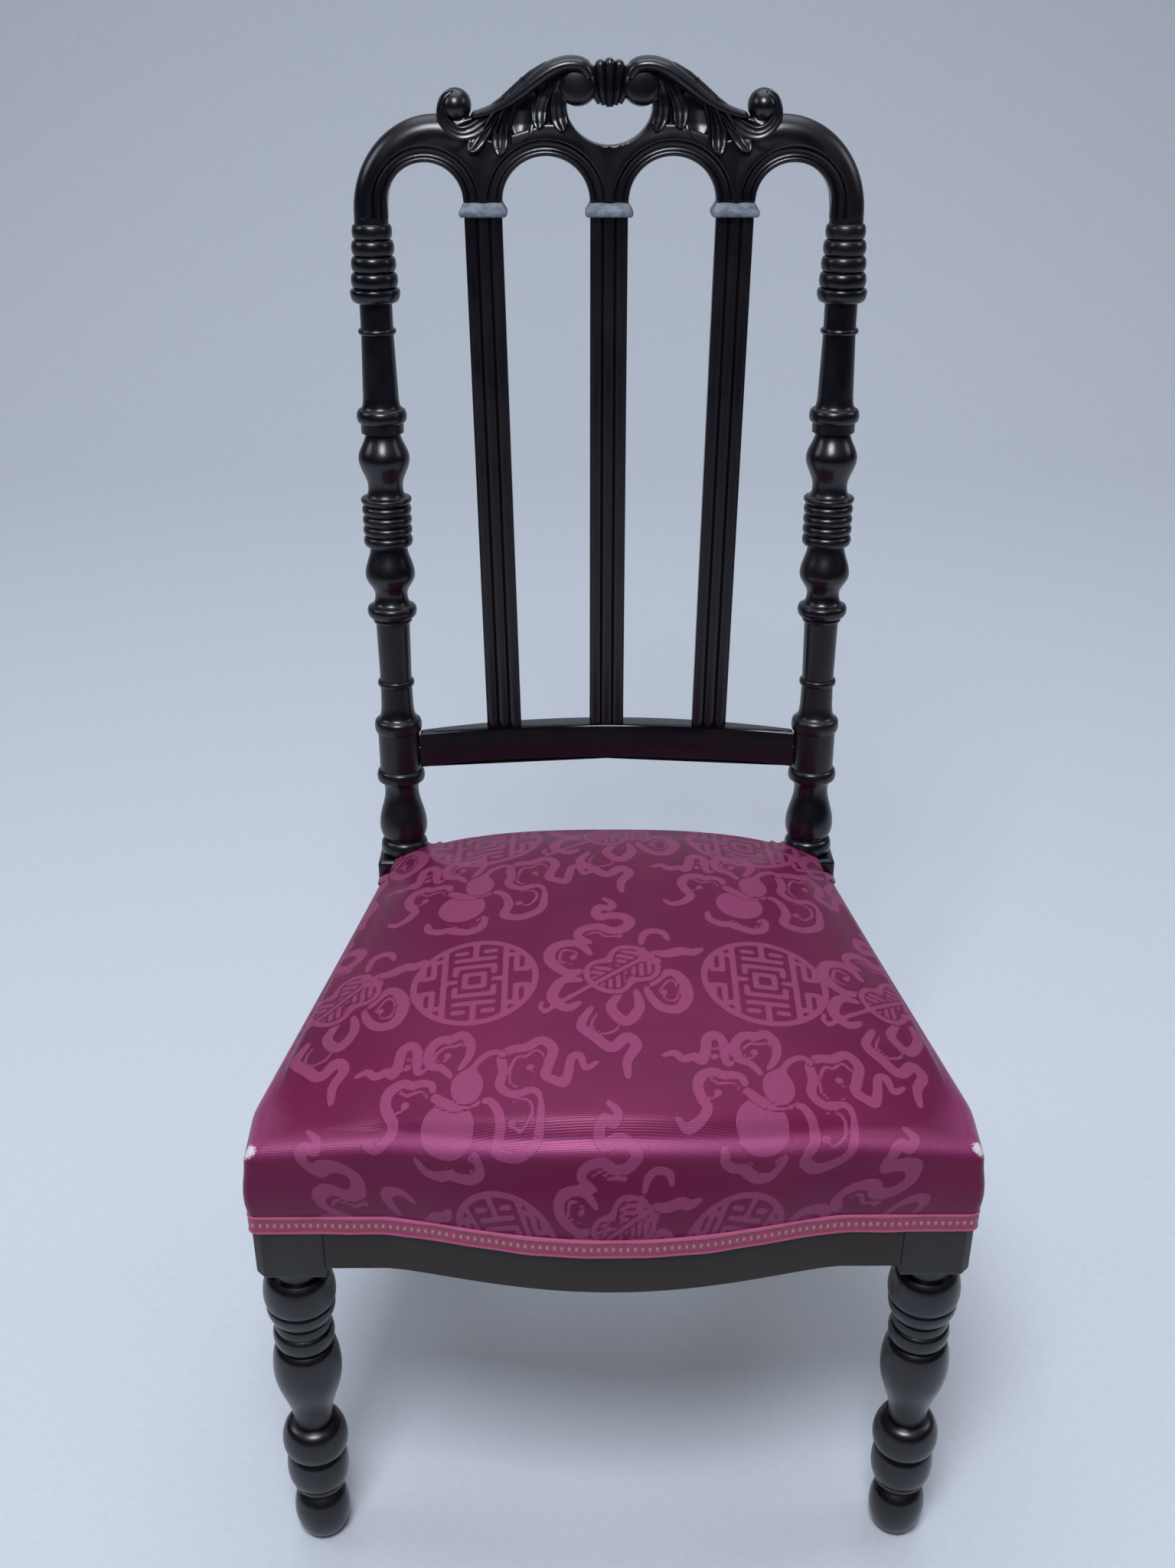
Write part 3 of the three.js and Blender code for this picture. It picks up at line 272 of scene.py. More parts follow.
@dataclass(frozen=True)
class Wiring:
    """A node tree, with a method for each kind of node that several finishes use."""

    tree: bpy.types.NodeTree

    def add(self, kind: str, inputs: Mapping[Any, Any] | None = None, **settings: Any) -> bpy.types.Node:
        """Adds a node.

        Args:
            kind: the node's type, without the "ShaderNode" in front.
            inputs: what each input gets, by name or number: another node's output or a constant.
            settings: the node's own properties.

        Returns:
            The new node.
        """
        made = self.tree.nodes.new("ShaderNode" + kind)
        for name, value in settings.items():
            setattr(made, name, value)
        for key, value in (inputs or {}).items():
            if isinstance(value, Socket):
                self.tree.links.new(value, made.inputs[key])
            else:
                made.inputs[key].default_value = value
        return made

    def place(self) -> Socket:
        """The place on the object, in metres."""
        return self.add("TexCoord").outputs["Object"]

    def cloth(self) -> Socket:
        """The place on the flat cloth, in millimetres."""
        return self.add("UVMap", uv_map="cloth").outputs["UV"]

    def stored(self, name: str) -> Socket:
        """A number kept on the mesh."""
        return self.add("Attribute", attribute_name=name).outputs["Fac"]

    def axes(self, place: Socket) -> list[Socket]:
        """A place's three parts."""
        return list(self.add("SeparateXYZ", {0: place}).outputs)

    def stretched(self, place: Socket, scale: tuple[float, float, float]) -> Socket:
        """A place multiplied by a scale along each axis."""
        return self.add("Mapping", {"Vector": place, "Scale": scale}).outputs["Vector"]

    def noise(self, place: Socket, scale: float = 1.0, detail: float = 2.0, roughness: float = 0.5) -> Socket:
        """Cloudy noise, with its scale, its octaves and how strong the finer ones are.

        Args:
            place: where it is read.
            scale: how many clouds there are in a unit of the place.
            detail: octaves of finer noise.
            roughness: the strength of each octave beside the one before.

        Returns:
            A number from 0 to 1.
        """
        inputs = {"Vector": place, "Scale": scale, "Detail": detail, "Roughness": roughness}
        return self.add("TexNoise", inputs).outputs["Fac"]

    def grain(self, width_mm: float, length_mm: float, detail: float = 4.0) -> Socket:
        """Noise drawn out along the height of the piece, as wood grain is.

        Args:
            width_mm: the width of a streak.
            length_mm: its length.
            detail: octaves of finer noise.

        Returns:
            A number from 0 to 1.
        """
        fine, slow = 1 / MM / width_mm, 1 / MM / length_mm
        return self.noise(self.stretched(self.place(), (fine, fine, slow)), 1.0, detail, 0.6)

    def math(self, operation: str, *values: Any) -> Socket:
        """The result of one operation on outputs or constants."""
        return self.add("Math", dict(enumerate(values)), operation=operation).outputs[0]

    def remap(
            self, value: Socket, low: float, high: float, new_low: float = 0.0,
            new_high: float = 1.0) -> Socket:
        """Carries a value evenly from one range to another and holds it at both ends.

        Args:
            value: the value.
            low: what becomes new_low.
            high: what becomes new_high.
            new_low: the new range's start.
            new_high: its end.

        Returns:
            The carried value.
        """
        inputs = {"Value": value, "From Min": low, "From Max": high, "To Min": new_low, "To Max": new_high}
        return self.add("MapRange", inputs).outputs["Result"]

    def ramp(self, factor: Socket, *stops: tuple[float, str]) -> Socket:
        """Colours along a factor.

        Args:
            factor: the value that is coloured.
            stops: pairs of place and colour.

        Returns:
            The colour.
        """
        made = self.add("ValToRGB", {"Fac": factor})
        elements = made.color_ramp.elements
        while len(elements) < len(stops):
            elements.new(1.0)
        for element, (place, colour) in zip(elements, stops):
            element.position = place
            element.color = linear(colour)
        return made.outputs["Color"]

    def mix(
            self, factor: Socket | float, first: Socket | str, second: Socket | str,
            blend: str = "MIX") -> Socket:
        """Mixes two colours.

        Args:
            factor: how much of the second.
            first: a colour or an output.
            second: a colour or an output.
            blend: the way of mixing.

        Returns:
            The mixed colour.
        """
        first, second = (linear(c) if isinstance(c, str) else c for c in (first, second))
        made = self.add("Mix", {0: factor, 6: first, 7: second}, data_type="RGBA", blend_type=blend)
        return made.outputs[2]

    def bump(self, height: Socket, strength: float, depth_mm: float) -> Socket:
        """Shades a surface as if its height rose and fell by a depth."""
        inputs = {"Height": height, "Strength": strength, "Distance": depth_mm * MM}
        return self.add("Bump", inputs).outputs["Normal"]


_made: dict[str, bpy.types.Material] = {}


@dataclass(frozen=True)
class Finish:
    """A surface finish. Each kind builds its own nodes once and is shared by the pieces that wear it."""

    name: str

    def material(self) -> bpy.types.Material:
        """The finish as a material, built the first time that a piece asks for it.

        Returns:
            The material.
        """
        if self.name not in _made:
            made = bpy.data.materials.new(self.name)
            made.use_nodes = True
            made.node_tree.nodes.clear()
            wiring = Wiring(made.node_tree)
            shader = wiring.add("BsdfPrincipled", self.look(wiring))
            wiring.add("OutputMaterial", {"Surface": shader.outputs["BSDF"]})
            _made[self.name] = made
        return _made[self.name]

    def look(self, wiring: Wiring) -> dict[str, Any]:
        """What each of the shader's sockets gets."""
        raise NotImplementedError


@dataclass(frozen=True)
class EbonisedBeech(Finish):
    """Beech stained black and French polished: a blue-black satin with faint closed pores and brown
    wear where hands rub, so that turned beads catch one soft clean highlight each."""

    name: str = "ebonised_beech_french_polished"
    colour: str = "#06060e"
    warm: str = "#100a10"
    matt_colour: str = "#17100e"
    matt_above_mm: float = 5000.0
    pore_mm: float = 0.9
    pore_length_mm: float = 14.0
    polish: tuple[float, float] = (0.22, 0.34)

    def look(self, wiring: Wiring) -> dict[str, Any]:
        """Stain that varies from blue-black to brown-black, uneven polish and pores along the grain."""
        cloud = wiring.grain(38.0, 60.0, 3.0)
        pores = wiring.grain(self.pore_mm, self.pore_length_mm)
        start = self.matt_above_mm * MM
        matt = wiring.remap(wiring.axes(wiring.place())[2], start, start + 2 * MM)
        stain = wiring.ramp(cloud, (0.38, self.colour), (0.72, self.warm))
        waxed = wiring.mix(matt, stain, self.matt_colour)
        return {
            "Base Color": wiring.mix(1.0, waxed, wiring.remap(pores, 0.3, 0.55, 0.55, 1.0), "MULTIPLY"),
            "Roughness": wiring.math("MULTIPLY_ADD", matt, 0.3, wiring.remap(cloud, 0.3, 0.7, *self.polish)),
            "Specular IOR Level": 0.55,
            "Normal": wiring.bump(pores, 0.12, 0.4),
        }


@dataclass(frozen=True)
class StainedShowWood(Finish):
    """Plain rails stained brown-black and waxed thinly, duller than the turnings: greyish dust in the
    grain and a greenish brown cast."""

    name: str = "show_wood_stained_waxed"
    colour: str = "#1c1614"
    dusty: str = "#35291f"
    streaks_per_metre: tuple[float, float, float] = (28.0, 28.0, 420.0)

    def look(self, wiring: Wiring) -> dict[str, Any]:
        """Long grain along the rails, dull wax and open pores."""
        streaks = wiring.noise(wiring.stretched(wiring.place(), self.streaks_per_metre), 1.0, 5.0, 0.65)
        return {
            "Base Color": wiring.ramp(streaks, (0.34, self.colour), (0.78, self.dusty)),
            "Roughness": wiring.remap(streaks, 0.3, 0.75, 0.42, 0.62),
            "Specular IOR Level": 0.3,
            "Normal": wiring.bump(streaks, 0.2, 0.5),
        }


@dataclass(frozen=True)
class WornGreyCapital(Finish):
    """The capitals' black is rubbed down to a lead-grey ground, matt and patchy, so they read pale."""

    name: str = "grey_capital_worn_paint"
    colour: str = "#6c7480"
    dark: str = "#4b525d"

    def look(self, wiring: Wiring) -> dict[str, Any]:
        """Patches of paler and darker grey, wider than they are tall, and a chalky surface."""
        patches = wiring.grain(7.0, 4.0, 2.0)
        return {
            "Base Color": wiring.ramp(patches, (0.36, self.dark), (0.6, self.colour)),
            "Roughness": 0.58,
            "Normal": wiring.bump(patches, 0.1, 0.4),
        }


@dataclass(frozen=True)
class SawnBeech(Finish):
    """Beech left from the saw: pale brown, with short dark flecks and a dry, rough face."""

    name: str = "beech_sawn_bare"
    colour: str = "#b08a5c"
    fleck: str = "#8a6238"

    def look(self, wiring: Wiring) -> dict[str, Any]:
        """Flecks drawn out along the grain and saw marks."""
        flecks = wiring.grain(0.9, 3.2)
        return {
            "Base Color": wiring.ramp(flecks, (0.35, self.fleck), (0.6, self.colour)),
            "Roughness": 0.8,
            "Normal": wiring.bump(flecks, 0.3, 0.5),
        }


@dataclass(frozen=True)
class DullScrewSteel(Finish):
    """Turned steel wood screws gone dull with age: grey metal with brown rust freckles."""

    name: str = "screw_steel_dull"
    colour: str = "#8b8c8f"
    rust: str = "#5a3c28"
    freckle_mm: float = 1.1

    def look(self, wiring: Wiring) -> dict[str, Any]:
        """Metal whose rust freckles are rougher than the rest."""
        freckles = wiring.grain(self.freckle_mm, self.freckle_mm)
        return {
            "Base Color": wiring.ramp(freckles, (0.42, self.rust), (0.55, self.colour)),
            "Roughness": wiring.remap(freckles, 0.4, 0.6, 0.7, 0.38),
            "Metallic": 0.9,
        }


class Weave(Enum):
    """A plain woven cloth: thread spacing in millimetres, its pale colour, the painted shade between its
    threads and its thread depth.
    """

    WEBBING = (1.6, "#a78c60", "#6f5535", 0.9)
    HESSIAN = (2.1, "#b39a6d", "#6a5334", 1.4)


@dataclass(frozen=True)
class JuteWeave(Finish):
    """Plain woven jute: coarse hairy threads over and under, at their real spacing, dry and golden."""

    name: str = "jute_plain_woven"
    weave: Weave = Weave.WEBBING

    def look(self, wiring: Wiring) -> dict[str, Any]:
        """Two sets of rounded threads on the cloth's own map, each raised where it passes over, with painted
        shade where they sink.
        """
        spacing, pale, dark, depth = self.weave.value
        cloth = wiring.cloth()
        turns = [wiring.math("MULTIPLY", axis, math.pi / spacing) for axis in wiring.axes(cloth)[:2]]
        waves = [wiring.math("SINE", turn) for turn in turns]
        over = wiring.math("ABSOLUTE", wiring.math("MULTIPLY", *waves))
        height = wiring.math("MULTIPLY_ADD", wiring.noise(cloth, 1.3, 4.0), 0.35, over)
        return {
            # Painted shade: darker where the weave is low between the threads, with noise that varies it at
            # random.
            "Base Color": wiring.ramp(height, (0.12, dark), (0.75, pale)),
            "Roughness": 0.92,
            "Normal": wiring.bump(height, 0.8, depth / 2),
        }


@dataclass(frozen=True)
class TeasedStuffing(Finish):
    """Horsehair and tow under scrim: off-white, hairy and matt."""

    name: str = "stuffing_teased_hair"
    colour: str = "#c9bda3"
    dark: str = "#8c7c60"

    def look(self, wiring: Wiring) -> dict[str, Any]:
        """Short hairs, drawn out upwards."""
        hairs = wiring.grain(2.0, 9.0, 6.0)
        return {"Base Color": wiring.ramp(hairs, (0.35, self.dark), (0.62, self.colour)), "Roughness": 1.0}


@dataclass(frozen=True)
class SilkDamask(Finish):
    """Silk damask: a wine satin ground that gleams along folds, with rose figures in a ribbed weave.
    The figures are a signed distance kept on the mesh, so their edges stay sharp."""

    name: str = "silk_damask_woven"
    ground: str = "#540e33"
    ground_red: str = "#5e1234"
    figure: str = "#74304f"
    figure_pale: str = "#863f62"
    # Painted sheen mixed with wear: the pale pink laid along the stitched edge.
    sheen_and_wear: str = "#a85585"
    frayed: str = "#cfc3c6"
    gleam: str = "#e07ab0"
    shine: str = "#ff9ccb"
    rib_mm: float = 1.25

    def look(self, wiring: Wiring) -> dict[str, Any]:
        """Ground and figures by the stored distance, cross ribs in both, painted sheen and fading along the
        edge.
        """
        cloth = wiring.cloth()
        ground = wiring.ramp(wiring.noise(cloth, 0.012, 3.0), (0.35, self.ground), (0.7, self.ground_red))
        slub = wiring.noise(wiring.stretched(cloth, (0.35, 2.4, 1.0)))
        figure = wiring.ramp(slub, (0.2, self.figure), (0.8, self.figure_pale))
        inside = wiring.remap(wiring.stored("motif"), 0.25, -0.25, 0.0, 0.9)
        woven = wiring.mix(inside, ground, figure)
        # Painted sheen and wear: the edge turns pale pink by the stored edge value times the slubs.
        with_sheen_and_wear = wiring.mix(wiring.math("MULTIPLY", wiring.stored("wear"), slub), woven, self.sheen_and_wear)
        torn = wiring.math("MULTIPLY_ADD", wiring.noise(cloth, 0.8, 3.0), 0.8, wiring.stored("fray"))
        ribs = wiring.math("SINE", wiring.math("MULTIPLY", wiring.axes(cloth)[1], 2 * math.pi / self.rib_mm))
        return {
            "Base Color": wiring.mix(wiring.remap(torn, 0.95, 1.1), with_sheen_and_wear, self.frayed),
            "Roughness": wiring.remap(inside, 0.0, 1.0, 0.36, 0.5),
            "Specular IOR Level": 0.5,
            "Specular Tint": linear(self.shine),
            "Sheen Weight": 0.08,
            "Sheen Roughness": 0.35,
            "Sheen Tint": linear(self.gleam),
            "Normal": wiring.bump(wiring.math("MULTIPLY_ADD", ribs, 0.18, inside), 0.35, 0.5),
        }


@dataclass(frozen=True)
class GimpBraid(Finish):
    """Woven gimp: raspberry threads between two corded edges, with a row of dusty rose knots."""

    name: str = "gimp_braid_woven"
    middle: str = "#9a2b53"
    middle_dark: str = "#7b2145"
    cord: str = "#a94a72"
    knot: str = "#c98191"
    knot_spacing_mm: float = 4.7
    half_width_mm: float = 7.5

    def look(self, wiring: Wiring) -> dict[str, Any]:
        """On a map of millimetres along and across: slanting threads, corded edges and round knots."""
        cloth = wiring.cloth()
        along, across, _ = wiring.axes(cloth)
        wave = wiring.math("COSINE", wiring.math("MULTIPLY", along, math.pi / self.knot_spacing_mm))
        peak = wiring.math("POWER", wiring.math("ABSOLUTE", wave), 6.0)
        away = wiring.math("ABSOLUTE", across)
        knots = wiring.math("MULTIPLY", peak, wiring.remap(away, 0.7, 2.4, 1.0, 0.0))
        fuzz = wiring.noise(cloth, 0.9, 4.0)
        rim = wiring.remap(away, self.half_width_mm - 2.6, self.half_width_mm - 1.6)
        edged = wiring.mix(rim, wiring.mix(fuzz, self.middle, self.middle_dark), self.cord)
        return {
            "Base Color": wiring.mix(knots, edged, self.knot),
            "Roughness": 0.78,
            "Sheen Weight": 0.3,
            "Normal": wiring.bump(wiring.math("ADD", knots, fuzz), 0.7, 0.8),
        }


@dataclass(frozen=True)
class StudioPaper(Finish):
    """Pale matt paper of the floor and backdrop, faintly cool."""

    name: str = "studio_paper_matt"
    colour: str = "#c6cbd1"
    shade: str = "#bfc4cb"

    def look(self, wiring: Wiring) -> dict[str, Any]:
        """A fine tooth in the paper, so that the floor isn't one flat colour."""
        tooth = wiring.grain(6.0, 6.0)
        return {"Base Color": wiring.ramp(tooth, (0.2, self.shade), (0.8, self.colour)), "Roughness": 0.9}


EBONISED = EbonisedBeech()
SHOW_WOOD = StainedShowWood()
CAPITAL_GREY = WornGreyCapital()
LEG_BLACK = EbonisedBeech("ebonised_leg_polished_block_worn", matt_above_mm=281.0)
BARE_BEECH = SawnBeech()
SCREW_STEEL = DullScrewSteel()
WEBBING_JUTE = JuteWeave()
HESSIAN_JUTE = JuteWeave("jute_hessian_woven", Weave.HESSIAN)
STUFFING_HAIR = TeasedStuffing()
DAMASK = SilkDamask()
BRAID = GimpBraid()
PAPER = StudioPaper()


# The lines from which the chair is set out


@dataclass(frozen=True)
class ChairPlan:
    """Where the chair's parts lie, in millimetres, with the front legs' axes on Y = 0."""

    lean: float = math.radians(8.7)
    splay: float = math.radians(0.69)
    post_half_spacing: float = 153.5
    post_line: float = 257.5
    plinth_half: float = 19.75
    leg_x: float = 214.0
    block_half: float = 23.5
    seat_half: float = 237.5
    rail_bottom: float = 288.0
    rail_top: float = 352.0
    rebate_height: float = 330.0
    rebate_depth: float = 2.7
    bow_depth: float = 22.5
    bow_half: float = 150.0
    bow_power: float = 1.4
    corner_radius: float = 6.0
    fit: float = 0.3

    def in_back(self, local: Array) -> Array:
        """Carries points from the leaning back (across, up along the lean, to the front) to the chair.

        Args:
            local: points in the back's own directions.

        Returns:
            The points in the chair's directions.
        """
        x, h, d = local[..., 0], local[..., 1], local[..., 2]
        sine, cosine = math.sin(self.lean), math.cos(self.lean)
        return np.stack([x, self.post_line + h * sine - d * cosine, h * cosine + d * sine], -1)

    def post_axis(self, along: Array | float) -> Any:
        """The distance of a post's axis from the middle, at a height along the lean."""
        return self.post_half_spacing + math.tan(self.splay) * along

    def post_inner(self, z: Array | float) -> Any:
        """The inner face of a plinth at a height."""
        return self.post_half_spacing + math.tan(self.splay) * z - self.plinth_half

    def post_outer(self, z: Array | float) -> Any:
        """The outer face of a plinth at a height."""
        return self.post_inner(z) + 2 * self.plinth_half

    def post_front(self, z: Array | float) -> Any:
        """The front face of a plinth at a height."""
        return self.post_line + math.tan(self.lean) * z - self.plinth_half / math.cos(self.lean)

    def post_rear(self, z: Array | float) -> Any:
        """The rear face of a plinth at a height."""
        return self.post_line + math.tan(self.lean) * z + self.plinth_half / math.cos(self.lean)

    def front(self, x: Array | float) -> Any:
        """The serpentine front: its bow is a power of one less the square of the share of its half width."""
        share = np.minimum(np.abs(x) / self.bow_half, 1.0)
        return -self.block_half - self.bow_depth * (1 - share**2) ** self.bow_power

    def side(self, y: Array | float) -> Any:
        """The side of the seat, which draws in evenly from the front block to the post."""
        middle = (self.rail_bottom + self.rail_top) / 2
        taper = (self.seat_half - self.post_outer(middle)) / (self.post_front(middle) - self.block_half)
        return self.seat_half - taper * np.maximum(y - self.block_half, 0)


PLAN = ChairPlan()


def rectangle(wide: float, deep: float) -> Line:
    """A rectangle's corners, anticlockwise round its middle, from half its width and half its depth."""
    return (-wide, -deep), (wide, -deep), (wide, deep), (-wide, deep)


def inset_polygon(polygon: Array, inset: Array | float) -> Array:
    """Moves every side of a closed polygon inwards, and meets the moved sides at their mitres.

    Args:
        polygon: its corners, anticlockwise.
        inset: how far, in millimetres.

    Returns:
        The moved corners.
    """
    before = polygon - np.roll(polygon, 1, 0)
    after = np.roll(polygon, -1, 0) - polygon
    first, second = (
        np.column_stack([-e[:, 1], e[:, 0]]) / np.linalg.norm(e, axis=1)[:, None] for e in (before, after))
    share = 1 + np.sum(first * second, 1)
    return polygon + inset * (first + second) / np.maximum(share, 0.2)[:, None]


def round_corners(polygon: Sequence[Sequence[float]] | Array, radius: float, steps: int = 4) -> Array:
    """Rounds the corners of a polygon: each becomes a curve that touches both sides at the radius.

    Args:
        polygon: its corners.
        radius: how far from each corner the curve begins.
        steps: pieces in each curve.

    Returns:
        The rounded outline.
    """
    corners = np.asarray(polygon, float)
    ways = np.roll(corners, 1, 0) - corners, np.roll(corners, -1, 0) - corners
    lengths = [np.linalg.norm(way, axis=1)[:, None] for way in ways]
    # Two curves on one side never meet: each takes a little less than half of it.
    start, end = (
        corners + way / length * np.minimum(radius, length / 2.1) for way, length in zip(ways, lengths))
    t = np.linspace(0, 1, steps + 1)[None, :, None]
    curve = (1 - t) ** 2 * start[:, None] + 2 * t * (1 - t) * corners[:, None] + t**2 * end[:, None]
    return curve.reshape(-1, 2)


def eased_ends(low: float, high: float, radius: float, steps: int = 4) -> list[tuple[float, float]]:
    """Levels and insets of a bar whose two ends are rounded over by a quarter circle.

    Args:
        low: the first level.
        high: the last level.
        radius: of the rounding.
        steps: pieces in each quarter.

    Returns:
        Pairs of level and inset, from low to high.
    """
    angle = np.linspace(0, math.pi / 2, steps + 1)
    inset, rise = radius * (1 - np.sin(angle)), radius * (1 - np.cos(angle))
    below = list(zip(low + rise, inset))
    above = list(zip(high - rise[::-1], inset[::-1]))
    return below + above


def stepped_levels(bottom: float, edge: float) -> tuple[Levels, Levels]:
    """Levels and insets of wood that is stepped in at the rebate to take the cover.

    Args:
        bottom: the wood's lowest level.
        edge: the radius of its eased edges.

    Returns:
        The lower part's levels, and those of the part that is drawn in, which starts a little inside it.
    """
    lower = eased_ends(bottom, PLAN.rebate_height, edge)
    return lower, [(PLAN.rebate_height - 2, PLAN.rebate_depth), (PLAN.rail_top, PLAN.rebate_depth)]


def prism(outline: Array, levels: Levels, place: Placing) -> Skin:
    """Carries an outline through levels, drawn in by each level's inset.

    Args:
        outline: the outline's corners, anticlockwise.
        levels: pairs of level and inset.
        place: puts points of (first, second, level) where they belong.

    Returns:
        The closed skin.
    """
    rings = [np.column_stack([inset_polygon(outline, inset), np.full(len(outline), level)])
             for level, inset in levels]
    return tube(place(np.array(rings)))


# Turnings


class Cut(Enum):
    """The turner's cuts."""

    FLAT = "flat"
    BEAD = "bead"
    SWELL = "swell"
    COVE = "cove"
    DOME = "dome"
    BOWL = "bowl"


@dataclass(frozen=True)
class Turn:
    """One cut of a turning: where it ends, its widths at both ends and, for a bead, at its crest."""

    cut: Cut
    top: float
    below: float
    above: float
    crest: float = 0.0

    def outline(self, low: float, steps: int = 12) -> Array:
        """The cut's heights and widths: a bead adds a half ellipse to the straight line between its ends, a
        swell eases by a cosine, and a cove, dome or bowl is a quarter ellipse.

        Args:
            low: the height at which the cut begins.
            steps: pieces along it.

        Returns:
            Rows of height and width.
        """
        t = np.linspace(0, 1, (1 if self.cut is Cut.FLAT else steps) + 1)
        fall = self.below - self.above
        middle = (self.below + self.above) / 2
        straight = self.below + (self.above - self.below) * t
        width = {
            Cut.FLAT: lambda: straight,
            Cut.BEAD: lambda: straight + (self.crest - middle) * np.sqrt(1 - (2 * t - 1) ** 2),
            Cut.SWELL: lambda: self.below - fall * (1 - np.cos(math.pi * t)) / 2,
            Cut.COVE: lambda: (self.above + fall * (1 - np.sqrt(1 - (1 - t) ** 2)) if fall > 0
                               else self.below - fall * (1 - np.sqrt(1 - t**2))),
            Cut.DOME: lambda: self.above + fall * np.sqrt(1 - t**2),
            Cut.BOWL: lambda: self.below - fall * np.sqrt(1 - (1 - t) ** 2),
        }[self.cut]()
        return np.column_stack([low + (self.top - low) * t, width])


def turned(turns: Sequence[Turn], start: float, place: Callable[[Array, Array, Array], Array]) -> Skin:
    """Turns a row of cuts round an axis: a surface of height and angle.

    Args:
        turns: the cuts from the bottom up.
        start: the height of the first.
        place: puts (x, y, height) arrays where they belong.

    Returns:
        The closed turning.
    """
    sides, least_step = 64, 0.02
    starts = [start, *(turn.top for turn in turns)]
    outline = np.vstack([turn.outline(low) for turn, low in zip(turns, starts)])
    step = np.linalg.norm(np.diff(outline, axis=0), axis=1)
    outline = outline[np.concatenate(([True], step > least_step))]
    angle = np.linspace(0, 2 * math.pi, sides, endpoint=False)
    radius = outline[:, 1:] / 2
    height = np.repeat(outline[:, :1], sides, 1)
    return tube(place(radius * np.cos(angle), radius * np.sin(angle), height))


@dataclass
class FrontLegs:
    """Two turned front legs, each with a square block that takes the rails."""

    block_bottom: float = 280.0
    cant: float = 6.0
    edge: float = 1.2
    turns: tuple[Turn, ...] = (
        Turn(Cut.BEAD, 43, 22, 25, 40.5),
        Turn(Cut.FLAT, 49.5, 25, 25.5),
        Turn(Cut.BEAD, 56, 33, 37, 38.5),
        Turn(Cut.BEAD, 85.5, 38, 36, 44.5),
        Turn(Cut.FLAT, 87, 35, 35),
        Turn(Cut.BEAD, 116, 37, 30, 46.5),
        Turn(Cut.FLAT, 119.5, 26.5, 26.5),
        Turn(Cut.SWELL, 172, 27.5, 48),
        Turn(Cut.DOME, 196, 48, 37),
        Turn(Cut.FLAT, 198, 34.5, 34.5),
        Turn(Cut.BEAD, 213, 36.5, 37, 42.5),
        Turn(Cut.BEAD, 222.5, 37, 36.5, 39.5),
        Turn(Cut.FLAT, 224, 35.5, 35.5),
        Turn(Cut.BEAD, 238, 38.5, 44, 46.8),
        Turn(Cut.BEAD, 265, 45, 38, 49),
        Turn(Cut.FLAT, 281, 33, 33),
    )

    def build(self) -> None:
        """Makes both legs."""
        h = PLAN.block_half
        plan = round_corners([(-h, -h), (h - self.cant, -h), (h, self.cant - h), (h, h), (-h, h)], self.edge)
        block = [prism(plan, levels, lambda p: p + (PLAN.leg_x, 0, 0))
                 for levels in stepped_levels(self.block_bottom, self.edge)]
        shaft = turned(self.turns, 0, lambda x, y, z: np.stack([x + PLAN.leg_x, y, z], -1))
        for side, skin in both_sides(together([shaft, *block])):
            piece(f"turned_leg_{side}", skin, LEG_BLACK, [f"front_leg_{side}"])


